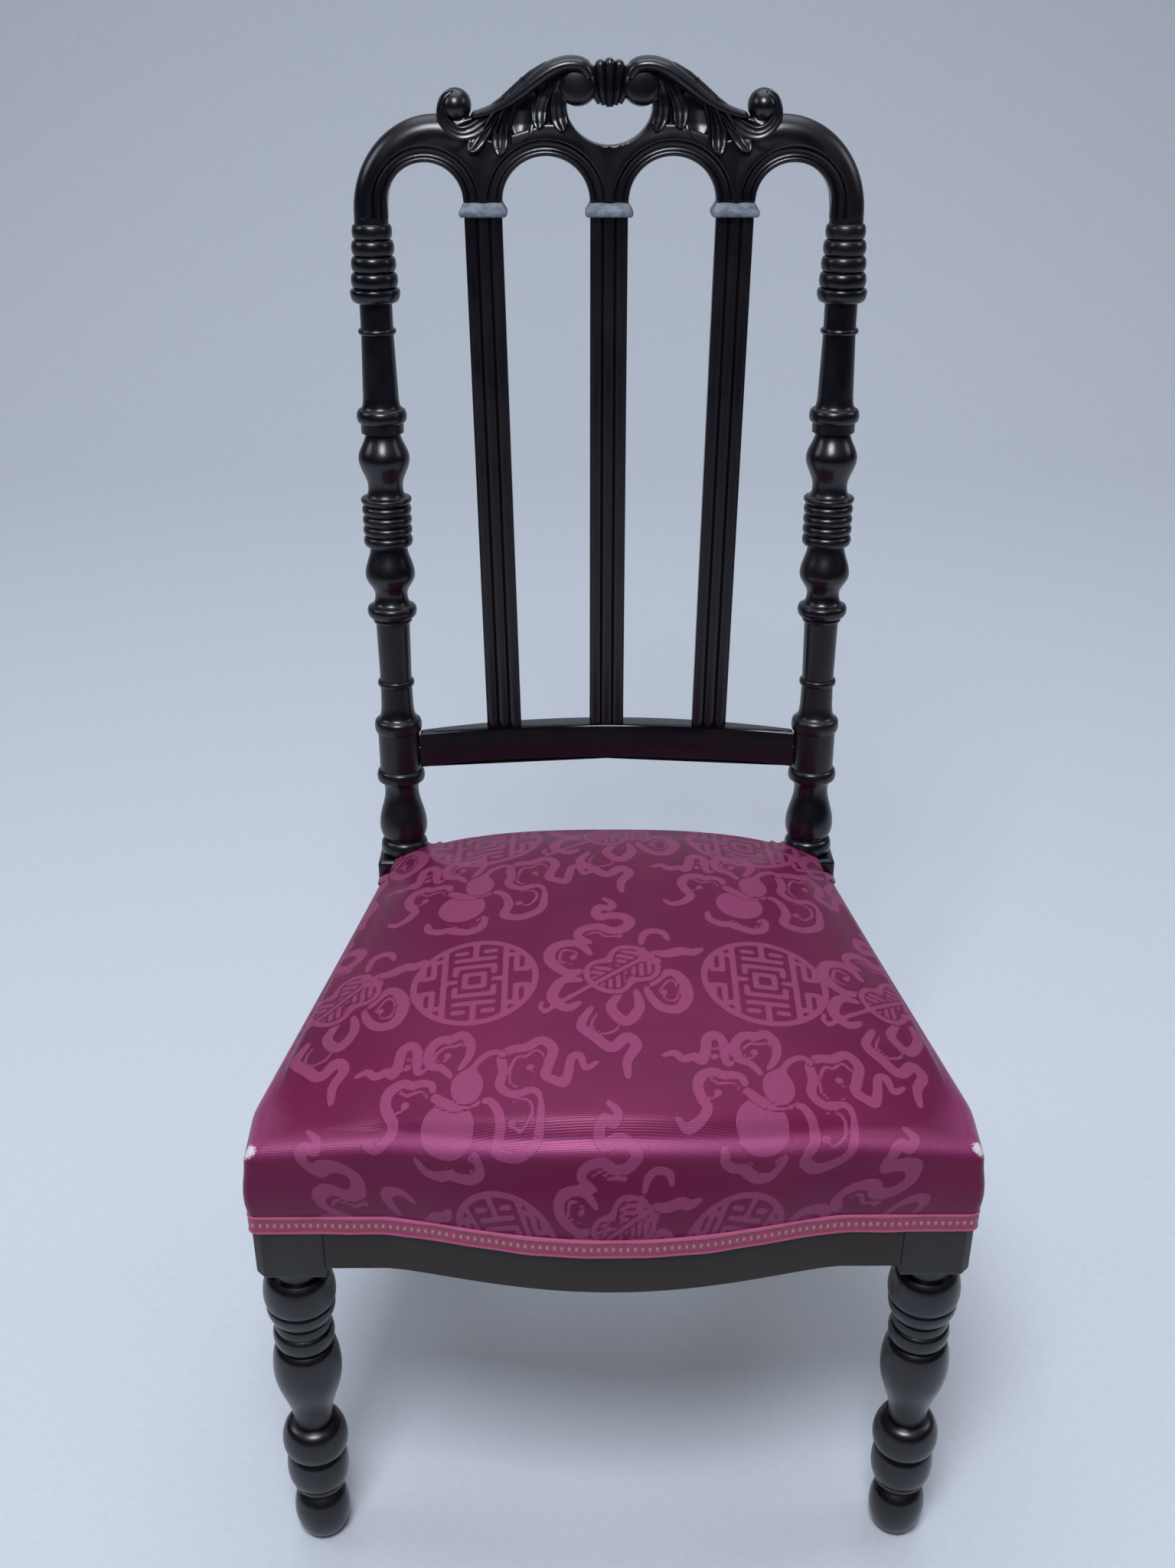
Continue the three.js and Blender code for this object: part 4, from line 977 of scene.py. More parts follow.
@dataclass
class BackPosts:
    """Two posts: a raked rear leg and plinth, and a turned stile above the seat."""

    plinth_top: float = 399.0
    foot_width: float = 30.0
    foot_behind: float = 114.0
    bend_height: float = 282.0
    rake: float = math.radians(35)
    edge: float = 2.2
    upright_height: float = 32.0
    plinth_round: float = 3.5
    turns: tuple[Turn, ...] = (
        Turn(Cut.FLAT, 399.5, 30, 30),
        Turn(Cut.BEAD, 411.5, 32, 31, 36.4),
        Turn(Cut.FLAT, 413, 28.5, 28.5),
        Turn(Cut.BOWL, 424, 28.5, 36.6),
        Turn(Cut.SWELL, 453, 36.6, 25.9),
        Turn(Cut.COVE, 460.5, 25.9, 33.3),
        Turn(Cut.BEAD, 470, 33.3, 32.2, 36.6),
        Turn(Cut.FLAT, 500.5, 31.5, 31.5),
        Turn(Cut.BEAD, 511.1, 32.2, 32.2, 35.9),
        Turn(Cut.COVE, 523.9, 31.5, 24.4),
        Turn(Cut.FLAT, 537.9, 24.4, 23.7),
        Turn(Cut.BEAD, 542.8, 25, 25, 27.6),
        Turn(Cut.FLAT, 588.1, 23.7, 25.2),
        Turn(Cut.BEAD, 592.2, 26, 26, 28.9),
        Turn(Cut.BEAD, 601.7, 30.3, 31.5, 36.6),
        Turn(Cut.COVE, 610, 31.5, 24),
        Turn(Cut.SWELL, 625.1, 24, 36.6),
        Turn(Cut.SWELL, 647, 36.6, 27),
        Turn(Cut.BEAD, 655.3, 30.5, 30.5, 35.9),
        Turn(Cut.BEAD, 662.8, 30.5, 30.5, 35.9),
        Turn(Cut.BEAD, 670.4, 30.5, 30.5, 35.9),
        Turn(Cut.BEAD, 677.9, 30.5, 30.5, 35.9),
        Turn(Cut.BEAD, 683.6, 30, 33.3, 36.6),
        Turn(Cut.COVE, 691.1, 31, 25.2),
        Turn(Cut.SWELL, 711.9, 25.2, 37),
        Turn(Cut.SWELL, 730.8, 37, 25.2),
        Turn(Cut.FLAT, 737.9, 30.7, 30.7),
        Turn(Cut.BEAD, 747.8, 31.8, 31, 35.9),
        Turn(Cut.COVE, 758, 30, 25.5),
        Turn(Cut.FLAT, 800.2, 25.5, 23),
        Turn(Cut.BEAD, 804.4, 23.5, 23.5, 27),
        Turn(Cut.FLAT, 822.1, 23, 23),
        Turn(Cut.BEAD, 831.9, 28, 31.5, 34.8),
        Turn(Cut.BEAD, 842.9, 28, 28, 33),
        Turn(Cut.BEAD, 853.8, 26.6, 26.6, 31.5),
        Turn(Cut.BEAD, 864.8, 25, 25, 30),
        Turn(Cut.BEAD, 875.4, 23.7, 23.7, 28),
        Turn(Cut.FLAT, 879.5, 23.7, 23.7),
    )

    def leg_centre(self, share: Array) -> Array:
        """The rear leg's centre line: a cubic that leaves the floor at the rake and joins the lean.

        Args:
            share: from the floor, 0, to the bend, 1.

        Returns:
            Points on the centre line.
        """
        top, t = self.bend_height, share
        y = ((2 * t**3 - 3 * t**2 + 1) * (PLAN.post_line + self.foot_behind)
             - (t**3 - 2 * t**2 + t) * top * math.tan(self.rake)
             + (3 * t**2 - 2 * t**3) * (PLAN.post_line + math.tan(PLAN.lean) * top)
             + (t**3 - t**2) * top * math.tan(PLAN.lean))
        z = top * t
        return np.stack([PLAN.post_axis(z), y, z], -1)

    def lower_leg(self) -> Skin:
        """The sawn leg and plinth: a rounded square carried up the centre line, then up the lean.

        Its rings turn level near the floor, so that the foot stands flat, and the plinth's top is rounded
        over by a quarter circle.

        Returns:
            The closed skin.
        """
        share = np.linspace(0, 1, 40)
        leg = self.leg_centre(share)
        leg_run = np.gradient(leg, axis=0)
        upright = np.clip(1 - leg[:, 2:] / self.upright_height, 0, 1)
        leg_run = leg_run / np.linalg.norm(leg_run, axis=1)[:, None] * (1 - upright) + upright * (0, 0, 1)
        leg_width = self.foot_width + (2 * PLAN.plinth_half - self.foot_width) * np.sqrt(share)
        turn = np.linspace(0, math.pi / 2, 6)
        shaft = np.linspace(self.bend_height + 4, self.plinth_top - self.plinth_round - 0.1, 12)
        height = np.concatenate([shaft, self.plinth_top - self.plinth_round * (1 - np.sin(turn))])
        inset = np.concatenate([np.zeros(len(shaft)), self.plinth_round * (1 - np.cos(turn))])
        plinth = PLAN.in_back(np.stack([PLAN.post_axis(height), height, np.zeros_like(height)], -1))
        plinth_run = np.tile((0, math.sin(PLAN.lean), math.cos(PLAN.lean)), (len(plinth), 1))
        centre = np.vstack([leg, plinth])[:, None]
        width = np.concatenate([leg_width, 2 * (PLAN.plinth_half - inset)])[:, None, None]
        run = np.vstack([leg_run, plinth_run])
        run /= np.linalg.norm(run, axis=1)[:, None]
        across = np.array([1.0, 0, 0])
        deep = np.cross(run, across)[:, None]
        square = round_corners(rectangle(0.5, 0.5), self.edge / (2 * PLAN.plinth_half), 3)[None]
        return tube(centre + square[..., :1] * width * across + square[..., 1:] * width * deep)

    @staticmethod
    def on_post(x: Array, y: Array, height: Array) -> Array:
        """Carries a turning from its own axis to the right post's."""
        return PLAN.in_back(np.stack([x + PLAN.post_axis(height), height, -y], -1))

    def build(self) -> None:
        """Makes both posts."""
        stile = turned(self.turns, self.plinth_top - 3, self.on_post)
        for side, skin in both_sides(together([self.lower_leg(), stile])):
            piece(f"turned_post_{side}", skin, EBONISED, [f"back_post_{side}"])


@dataclass
class LowerBackRail:
    """The plain rail that carries the splats, hollow in plan."""

    bottom: float = 471.5
    height: float = 28.5
    bow: float = 18.0
    end_thickness: float = 9.5
    middle_thickness: float = 18.5
    edge: float = 2.4
    post_width: float = 31.5
    tenon_radius: float = 3.5
    tenon_length: float = 12.0
    tenon_sides: int = 24

    @property
    def end(self) -> float:
        """Half the rail's length between the posts."""
        return PLAN.post_axis(self.bottom + self.height / 2) - self.post_width / 2 - PLAN.fit

    def front(self, x: Array | float) -> Any:
        """The hollow front face in plan, a parabola."""
        return self.end_thickness / 2 - self.bow * (1 - (x / self.end) ** 2)

    def tenon(self) -> Skin:
        """The right-hand round tenon, drawn in at its tip.

        Returns:
            The closed skin.
        """
        angle = np.linspace(0, 2 * math.pi, self.tenon_sides, endpoint=False)
        radius = np.array([1, 1, 0.8])[:, None] * self.tenon_radius
        out = self.end + np.array([-3, self.tenon_length - 0.8, self.tenon_length])
        along = np.repeat(out[:, None], self.tenon_sides, 1)
        up = self.bottom + self.height / 2 + radius * np.cos(angle)
        return tube(PLAN.in_back(np.stack([along, up, radius * np.sin(angle)], -1)))

    def build(self) -> None:
        """Makes the rail and its round tenons."""
        x = np.linspace(-self.end, self.end, 49)
        thick = self.middle_thickness + (self.end_thickness - self.middle_thickness) * (x / self.end) ** 2
        plan = np.vstack([
            np.column_stack([x, self.front(x) - thick]), np.column_stack([x[::-1], self.front(x[::-1])])])
        levels = eased_ends(self.bottom, self.bottom + self.height, self.edge)
        bar = prism(plan, levels, lambda p: PLAN.in_back(p[..., [0, 2, 1]]))
        tenon = self.tenon()
        whole = together([bar, tenon, tenon.mirrored()])
        piece("lower_rail", whole, EBONISED, ["lower_back_rail"])


@dataclass
class Splats:
    """Three reeded splats and the small grey capitals over them."""

    rail: LowerBackRail
    width: float = 26.0
    thickness: float = 12.0
    chamfer: float = 1.2
    foot_spacing: float = 79.0
    head_spacing: float = 86.7
    spring: float = 890.0
    reeds: int = 3
    reed_rise: float = 2.4
    reed_power: float = 0.6
    tenon_half: tuple[float, float] = (7.5, 3.0)
    tenon_length: float = 12.0
    capital_height: float = 9.5
    capital_stem: tuple[float, float] = (26.6, 19.0)
    capital_overhang: tuple[float, float] = (6.4, 3.0)
    capital_profile: Line = (
        (0, 0.45), (0.04, 0.75), (0.1, 0.92), (0.2, 1), (0.32, 1), (0.42, 0.97), (0.46, 0.9), (0.9, 0.12),
        (1, 0))

    def splat_skin(self, side: int) -> Skin:
        """A flat bar whose front is a row of reeds, each a power of half a sine, sheared from foot to head.

        Args:
            side: -1, 0 or 1.

        Returns:
            The closed skin.
        """
        half, deep = self.width / 2, self.thickness / 2
        t = np.linspace(0, self.reeds, self.reeds * 10 + 1)
        front = deep - self.reed_rise + self.reed_rise * np.abs(np.sin(math.pi * t)) ** self.reed_power
        back = [(-half, self.chamfer - deep), (self.chamfer - half, -deep),
                (half - self.chamfer, -deep), (half, self.chamfer - deep)]
        plan = np.vstack([np.column_stack([half - self.width * t / self.reeds, front]), back])
        low = self.rail.bottom + self.rail.height + PLAN.fit
        high = self.spring - self.capital_height - 2 * PLAN.fit
        foot_x = side * self.foot_spacing
        foot = np.array([foot_x, self.rail.front(foot_x) - 1 - deep])
        slope = (np.array([side * self.head_spacing, 0.0]) - foot) / (high - low)
        height = np.linspace(low, high, 24)[:, None, None]
        rings = np.concatenate([
            foot + slope * (height - low) + plan, np.repeat(height, len(plan), 1)], -1)
        parts = [tube(PLAN.in_back(rings[..., [0, 2, 1]]))]
        square = round_corners(rectangle(*self.tenon_half), 0.6, 2)
        head_reach = self.tenon_length + self.capital_height + 2 * PLAN.fit
        for at, inside, reach in ((low, 3, -self.tenon_length), (high, -3, head_reach)):
            ends = [np.column_stack([square + foot + slope * (at + h - low), np.full(len(square), at + h)])
                    for h in (inside, reach)]
            parts.append(tube(PLAN.in_back(np.array(ends)[..., [0, 2, 1]])))
        return together(parts)

    def capital_skin(self, side: int) -> Skin:
        """A small moulded block: an undercut bead, a square band and a slope back to the stem.

        Args:
            side: -1, 0 or 1.

        Returns:
            The closed skin.
        """
        bottom = self.spring - self.capital_height - PLAN.fit
        rings = []
        for up, size in self.capital_profile:
            halves = (
                (stem + over * size) / 2 for stem, over in zip(self.capital_stem, self.capital_overhang))
            ring = round_corners(rectangle(*halves), 1.4, 3)
            level = np.full(len(ring), bottom + up * self.capital_height)
            rings.append(np.column_stack([ring[:, 0] + side * self.head_spacing, level, ring[:, 1]]))
        return tube(PLAN.in_back(np.array(rings)))

    def build(self) -> None:
        """Makes the splats and capitals."""
        for place, side in (("left", -1), ("middle", 0), ("right", 1)):
            splat = self.splat_skin(side)
            piece(f"reeded_splat_{place}", splat, EBONISED, [f"splat_{place}"])
            capital = self.capital_skin(side)
            piece(f"grey_capital_{place}", capital, CAPITAL_GREY, [f"capital_{place}"])


# Carved forms as fields of distance


def distance_to_line(points: Array, line: Array, closed: bool = False, half: Array | float = 0.0) -> Array:
    """The distance of each point from a line of straight pieces, less half its width, worked out in blocks.

    Args:
        points: points in the plane.
        line: the line's corners.
        closed: whether the last corner joins the first.
        half: half the line's width, one number or one for each of its pieces.

    Returns:
        A distance for each point.
    """
    start = line if closed else line[:-1]
    run = (np.roll(line, -1, 0) if closed else line[1:]) - start
    length = np.maximum((run**2).sum(1), 1e-9)
    near = np.empty(len(points))
    for block in range(0, len(points), POINTS_AT_ONCE):
        part = points[block:block + POINTS_AT_ONCE, None, :] - start
        share = np.clip((part * run).sum(2) / length, 0, 1)
        away = part - share[..., None] * run
        near[block:block + POINTS_AT_ONCE] = (np.sqrt((away**2).sum(2)) - half).min(1)
    return near


def signed_distance(points: Array, polygon: Array) -> Array:
    """The distance from a closed polygon's edge, negative inside it by the even-odd rule.

    Args:
        points: points in the plane.
        polygon: its corners.

    Returns:
        A signed distance for each point.
    """
    near = distance_to_line(points, polygon, True)
    inside = np.zeros(len(points), bool)
    for (ax, ay), (bx, by) in zip(polygon, np.roll(polygon, -1, 0)):
        if ay == by:
            continue
        crosses = (ay > points[:, 1]) != (by > points[:, 1])
        inside ^= crosses & (points[:, 0] < (bx - ax) * (points[:, 1] - ay) / (by - ay) + ax)
    return np.where(inside, -near, near)


def blend(a: Array, b: Array, radius: float) -> Array:
    """Joins two fields of distance, filling the crease between them by a polynomial of that radius."""
    share = np.clip(0.5 + 0.5 * (b - a) / radius, 0, 1)
    return b + (a - b) * share - radius * share * (1 - share)


def carve(a: Array, b: Array, radius: float) -> Array:
    """Takes one field of distance out of another, easing the edge over that radius."""
    return -blend(-a, b, radius)


def rounded(across: Array, deep: Array, radius: float) -> Array:
    """The field of an outline's distance given a thickness, its edge rounded over by that radius."""
    a, b = across + radius, deep + radius
    return np.minimum(np.maximum(a, b), 0) + np.hypot(np.maximum(a, 0), np.maximum(b, 0)) - radius


def surface_net(field_of: Callable[[Array], Array], low: Array, high: Array, step: float) -> Skin:
    """Meshes the surface on which a field of distance is zero.

    A grid of samples is laid over the box. Each cell that the surface crosses gets one point, the mean of
    the crossings on its edges, and each grid edge that it crosses gets one face between the four cells
    round it. Two steps down the field's own slope then bring the points onto the surface.

    Args:
        field_of: gives the field at an array of points.
        low: the box's lowest corner.
        high: its highest corner.
        step: the spacing of the samples.

    Returns:
        The skin.
    """
    axes = [np.arange(a, b + step, step) for a, b in zip(low, high)]
    shape = tuple(len(a) for a in axes)
    samples = np.stack(np.meshgrid(*axes, indexing="ij"), -1).reshape(-1, 3)
    value = field_of(samples).reshape(shape)
    inside = value < 0
    total = np.zeros((*(n - 1 for n in shape), 3))
    count = np.zeros([n - 1 for n in shape])
    span = [np.arange(n - 1) for n in shape]
    base = np.stack(np.meshgrid(*span, indexing="ij"), -1).astype(float)
    for axis in range(3):
        for i in (0, 1):
            for j in (0, 1):
                offset = [i, j]
                offset.insert(axis, 0)
                far = list(offset)
                far[axis] = 1
                a = value[tuple(slice(o, o + n - 1) for o, n in zip(offset, shape))]
                b = value[tuple(slice(o, o + n - 1) for o, n in zip(far, shape))]
                crossed = (a < 0) != (b < 0)
                t = np.where(crossed, a / np.where(crossed, a - b, 1), 0)
                point = base + np.array(offset, float)
                point[..., axis] += t
                total += np.where(crossed[..., None], point, 0)
                count += crossed
    used = count > 0
    number = np.full(count.shape, -1)
    number[used] = np.arange(used.sum())
    points = total[used] / count[used][:, None] * step + np.array([a[0] for a in axes])
    faces: Faces = []
    for axis in range(3):
        u, v = [k for k in range(3) if k != axis]
        here = [slice(1, n - 1) for n in shape]
        here[axis] = slice(0, shape[axis] - 1)
        there = list(here)
        there[axis] = slice(1, shape[axis])
        a, b = inside[tuple(here)], inside[tuple(there)]
        where = np.argwhere(a != b)
        turned_in = a[a != b]
        where += np.array([0 if k == axis else 1 for k in range(3)])
        cells = []
        for du, dv in ((-1, -1), (0, -1), (0, 0), (-1, 0)):
            cell = where.copy()
            cell[:, u] += du
            cell[:, v] += dv
            cells.append(number[tuple(cell.T)])
        quad = np.column_stack(cells)
        flip = turned_in if axis != 1 else ~turned_in
        quad[~flip] = quad[~flip][:, ::-1]
        faces.append(quad)
    probe = 0.05
    for _ in range(2):
        here = field_of(points)
        slope = np.stack([field_of(points + way * probe) - here for way in np.eye(3)], -1) / probe
        size = np.maximum((slope**2).sum(1), 0.25)
        points = points - np.clip(here / size, -step / 2, step / 2)[:, None] * slope
    return Skin(points, faces).outward()


@dataclass
class CarvedLeaf:
    """One tongue of the carving: a spine with a width and height at each point of it. Its section is a
    shallow trough with raised rims and a middle rib, and its edges drop into the board behind."""

    spine: Line
    widths: Sequence[float]
    heights: Sequence[float]
    trough: float = 1.2
    rib: float = 0.7
    tilt: float = 0.0
    sink: float = 4.0
    rows: int = 44
    columns: int = 18
    tip_drop: float = 1.6
    rib_width: float = 0.13

    def skin(self) -> Skin:
        """Works the leaf out as a surface of place along the spine and place across it.

        Across, the front is a high power's dome plus a parabola for the trough and a narrow bell for the rib.
        Along, the rows close up towards the tip, which is a quarter ellipse in plan and droops.

        Returns:
            The closed skin, in the leaning back's own directions.
        """
        line = catmull_rom(self.spine, 4 * self.rows)
        share = np.sin(np.linspace(0, math.pi / 2, self.rows)) ** 1.15
        line = np.column_stack([np.interp(share, np.linspace(0, 1, len(line)), line[:, k]) for k in (0, 1)])
        run = np.gradient(line, axis=0)
        run /= np.linalg.norm(run, axis=1)[:, None]
        across = np.column_stack([-run[:, 1], run[:, 0]])
        width, height = (
            np.interp(share, np.linspace(0, 1, len(stops)), stops) for stops in (self.widths, self.heights))
        half = width / 2
        length = np.linalg.norm(np.diff(line, axis=0), axis=1).sum()
        past = np.clip((share * length - length + half[-1]) / half[-1], 0, 1)
        tip = np.sqrt(np.maximum(1 - past**2, 0.0004))
        half = (half * tip)[:, None]
        height = (height - self.tip_drop * (1 - tip))[:, None]
        v = np.cos(np.linspace(0, math.pi, self.columns))
        shell = np.sqrt(np.maximum(1 - np.abs(v) ** 5, 0))
        hollow = self.trough * (v**2 - 0.55) + self.rib * np.exp(-((v / self.rib_width) ** 2)) + self.tilt * v
        front = height * shell + hollow * shell * np.clip(half / 4, 0.25, 1.4)
        place = line[:, None] + across[:, None] * (half * v)[..., None]
        top = np.concatenate([place, front[..., None]], -1)
        back = top[:, ::-1][:, 1:-1].copy()
        back[..., 2] = -self.sink
        return tube(np.concatenate([top, back], 1))


@dataclass
class CrestRail:
    """The arcaded crest rail: a board with round shoulders, arch mouldings, pebble scrolls, C-scrolls,
    leaves and a palmette, carved in the solid."""

    spring: float = 890.0
    stem_half: float = 13.3
    splat_spacing: float = 86.7
    half_thickness: float = 9.5
    edge_round: float = 4.5
    tube_radius: float = 12.0
    arch_foot: float = 868.0
    top_middle: float = 966.0
    past_middle: float = 8.0
    shoulder_centre: tuple[float, float] = (118.0, 883.0)
    shoulder_axes: tuple[float, float] = (45.9, 52.0)
    shoulder_foot: float = 878.3
    # The cove and bead along the arches: out from the arch, ahead of the face, and radius.
    cove: tuple[float, float, float] = (6.2, 0.6, 4.1)
    bead: tuple[float, float, float] = (1.9, -2.4, 2.0)
    # The centre of the pierced opening and half its width and height.
    pierce: tuple[float, float, float, float] = (0.0, 955.5, 30.0, 29.0)
    pebble: tuple[float, float] = (104.0, 952.3)
    pebble_axes: tuple[float, float, float] = (10.8, 11.4, 13.5)
    # The volute's centre and radius.
    volute: tuple[float, float, float] = (21.5, 965.2, 13.6)
    volute_round: float = 5.0
    step: float = 0.9
    leaf_ground: float = 4.6
    leaf_area: Line = (
        (33, 962), (38, 970), (50, 966), (62, 957), (74, 949), (88, 944.5), (97, 941), (106, 938), (112, 940),
        (109, 935.5), (101, 933), (93, 929.5), (85, 932), (76, 929.5), (67, 934), (54, 938), (45, 941),
        (38, 941), (33.5, 944), (33, 953))
    crescent: Line = (
        (15.5, 968.5), (19.5, 972.2), (25.4, 973.3), (31.3, 972), (36.6, 968.9), (41, 964.4), (44.2, 958.6))
    top_edge: Line = (
        (112, 940), (104, 944), (97, 945.3), (91.5, 945.9), (85, 949.5), (75, 956.5), (64, 966), (54, 974),
        (44, 979.5), (32, 982), (24, 980.5), (17, 976), (12, 968), (0, 966))

    @property
    def shoulder_x(self) -> float:
        """Where the shoulder stands on its post."""
        return PLAN.post_axis(878.0)

    @property
    def arches(self) -> tuple[tuple[float, float], tuple[float, float]]:
        """The centre and radius of the inner and of the outer arch on the right."""
        inner = (self.splat_spacing - 2 * self.stem_half) / 2
        start = self.splat_spacing + self.stem_half
        outer = (self.shoulder_x - self.tube_radius - start) / 2
        return (self.stem_half + inner, inner), (start + outer, outer)

    def shoulder_arc(self, start: float, end: float, count: int) -> Array:
        """Part of the shoulder's centre line, an ellipse's arc between two angles.

        Args:
            start: the first angle, in radians from the outside.
            end: the last.
            count: how many points.

        Returns:
            The points.
        """
        bend = np.linspace(start, end, count)
        return np.column_stack([np.cos(bend), np.sin(bend)]) * self.shoulder_axes + self.shoulder_centre

    def outline(self) -> Array:
        """The board's right half, from the middle round the arches and the shoulder to the top edge.

        Returns:
            The closed outline.
        """
        turn = np.linspace(math.pi, 0, 33)
        half_circle = np.column_stack([np.cos(turn), np.sin(turn)])
        inner_arch, outer_arch = (
            half_circle * radius + (centre, self.spring) for centre, radius in self.arches)
        foot_sides = self.splat_spacing - self.stem_half, self.splat_spacing + self.stem_half
        return np.vstack([
            [(-self.past_middle, self.arch_foot), (self.stem_half, self.arch_foot)], inner_arch,
            [(x, self.arch_foot) for x in foot_sides], outer_arch, self.shoulder_arc(0.1, 1.45, 14),
            self.top_edge, [(-self.past_middle, self.top_middle)]])

    def arch_distance(self, x: Array, h: Array) -> Array:
        """How far a point lies outside the nearest arch opening, whose sides run straight down."""
        rise = np.maximum(h - self.spring, 0)
        return np.minimum(*(np.hypot(x - centre, rise) - radius for centre, radius in self.arches))

    def board(self, p: Array) -> Array:
        """The field of the board and its turned-over parts.

        An outline is given a thickness with rounded edges. The shoulder is a tube round an ellipse's arc.
        A cove is taken out and a bead put on at a set distance from the arches, volutes are short
        cylinders with rounded rims, pebbles are ellipsoids, and the pierced opening is an ellipse.

        Args:
            p: points of (across, up, to the front).

        Returns:
            The field, negative in the wood.
        """
        x, h, d = np.abs(p[:, 0]), p[:, 1], p[:, 2]
        edge, hollow, crescent, bend = self.plan_distances(np.column_stack([x, h]))
        solid = rounded(edge, np.abs(d) - self.half_thickness, self.edge_round)
        arch = self.arch_distance(x, h)
        swell = np.exp(-((arch - 12) / 6) ** 2) * 1.2 * (h > self.spring - 4)
        solid = solid - np.where(d > 0, swell, swell * 0.3)
        solid = carve(solid, np.maximum(hollow, self.leaf_ground - d), 2.0)
        solid = carve(solid, np.hypot(crescent, d - 10.5) - 4.0, 1.2)
        solid = blend(solid, np.hypot(bend, d) - self.tube_radius, 3.0)
        cove, bead = (
            np.hypot(arch - out, d - self.half_thickness - ahead) - radius
            for out, ahead, radius in (self.cove, self.bead))
        solid = np.maximum(blend(carve(solid, cove, 0.8), bead, 0.5), -arch)
        cx, ch, a, b = self.pierce
        solid = np.maximum(solid, (1 - np.hypot((x - cx) / a, (h - ch) / b)) * b)
        cx, ch, radius = self.volute
        away = np.hypot(x - cx, h - ch)
        crown = 9.5 + 4.2 * np.sqrt(np.maximum(1 - (away / radius) ** 2, 0))
        solid = blend(solid, rounded(away - radius, np.abs(d) - crown, self.volute_round), 1.5)
        ball = (np.column_stack([x, h, d]) - (*self.pebble, 1)) / self.pebble_axes
        solid = blend(solid, (np.linalg.norm(ball, axis=1) - 1) * 11, 0.8)
        return np.maximum(solid, np.where(x > 140, self.shoulder_foot, self.spring) - h)

    def plan_distances(self, flat: Array) -> tuple[Array, Array, Array, Array]:
        """Distances in the board's own plane, worked out once for each run of points over one place.

        Args:
            flat: (across, up) for each point.

        Returns:
            The distances from the outline, from the sunk ground of the leaves, from the groove inside the
            C-scroll and from the shoulder's centre line.
        """
        first = np.concatenate(([True], np.any(np.diff(flat, axis=0) != 0, axis=1)))
        places = flat[first]
        shoulder = np.vstack([
            [(self.shoulder_x, 874.0)], self.shoulder_arc(-0.12, 1.62, 40)[1:], [(106, 933)]])
        found = (
            signed_distance(places, self.outline()), signed_distance(places, np.array(self.leaf_area)),
            distance_to_line(places, catmull_rom(self.crescent, 40)), distance_to_line(places, shoulder))
        which = np.cumsum(first) - 1
        return tuple(part[which] for part in found)

    def carving(self) -> list[CarvedLeaf]:
        """The right-hand carving, from the board outwards, so that what lies in front is last."""
        return [
            CarvedLeaf([(55, 969), (57, 960), (58.5, 949), (59, 939), (57.5, 930.5)], [10, 19, 22, 21, 16],
                       [11, 8.6, 8.0, 9.6, 13.4], trough=3.4, rib=0.0, tilt=-0.8),
            CarvedLeaf([(65.5, 959.5), (69.8, 951.5), (73, 941), (74.2, 931), (74, 921)],
                       [6, 10, 13, 14, 11.5], [12.6, 11, 10.6, 12, 15.2], trough=3.0, rib=1.4, tilt=-1.2),
            CarvedLeaf([(70, 956.5), (76.6, 949.6), (83, 940.5), (88.5, 932), (94.5, 923.6)],
                       [6, 10, 13, 14, 11.5], [12.6, 11.4, 11, 12.4, 15.6], trough=3.0, rib=1.4, tilt=-1.2),
            CarvedLeaf([(29, 972), (38, 968), (44.5, 959), (48, 949), (47.6, 938)], [5, 9, 11.5, 13.5, 11.5],
                       [12, 9.8, 9.2, 10.4, 13.6], trough=3.0, rib=1.0, tilt=-1.2),
            CarvedLeaf([(32, 968), (34.4, 959), (35, 950), (34, 943), (31, 936.4)], [7, 10.5, 12.5, 13.5, 11],
                       [12, 10, 9.8, 11, 14.2], trough=3.0, rib=1.0, tilt=-1.0),
            CarvedLeaf([(73, 953), (79, 947.6), (85.5, 941), (93, 936.2), (101, 935), (108, 938.6),
                        (112, 944.6), (112.4, 951.4), (110, 957.6), (104.6, 961.4)],
                       [6, 10, 12, 12.6, 12, 11, 9.6, 8.6, 7.4, 4.6],
                       [12.6, 11.8, 12, 12.6, 13, 13.4, 13.4, 13.2, 12.4, 10.6],
                       trough=2.6, rib=1.2, tilt=-0.6),
            CarvedLeaf([(59, 963), (62, 957), (65, 949), (66.8, 940), (67, 929)], [2.4, 3, 3.2, 3, 2.2],
                       [13, 13, 13, 13.2, 13.6], trough=-0.8, rib=0.6),
            CarvedLeaf([(62, 961), (68, 955), (73, 947), (76.4, 937)], [2.2, 3, 3, 1.8],
                       [13.6, 14.2, 14.2, 13.6], trough=-0.8, rib=0.6),
            CarvedLeaf([(66, 959), (73.6, 953), (79.6, 946), (84.6, 938)], [2.2, 2.8, 2.8, 1.8],
                       [13.6, 14.4, 14.6, 14], trough=-0.8, rib=0.6),
            CarvedLeaf([(13.5, 970), (17.5, 976.4), (26, 978.2), (35, 976.4), (43, 972.4), (51, 966.8),
                        (59, 960.6), (67.5, 954.8), (76.5, 950.2), (85.5, 947.2), (93.5, 945.8)],
                       [9, 11.4, 11.6, 12, 12, 11.6, 10.4, 9, 8, 7, 5],
                       [12.6, 14.4, 15, 15.2, 15.2, 15, 14.6, 14, 13.2, 12.4, 11], trough=-3.6, rib=0.0),
        ]

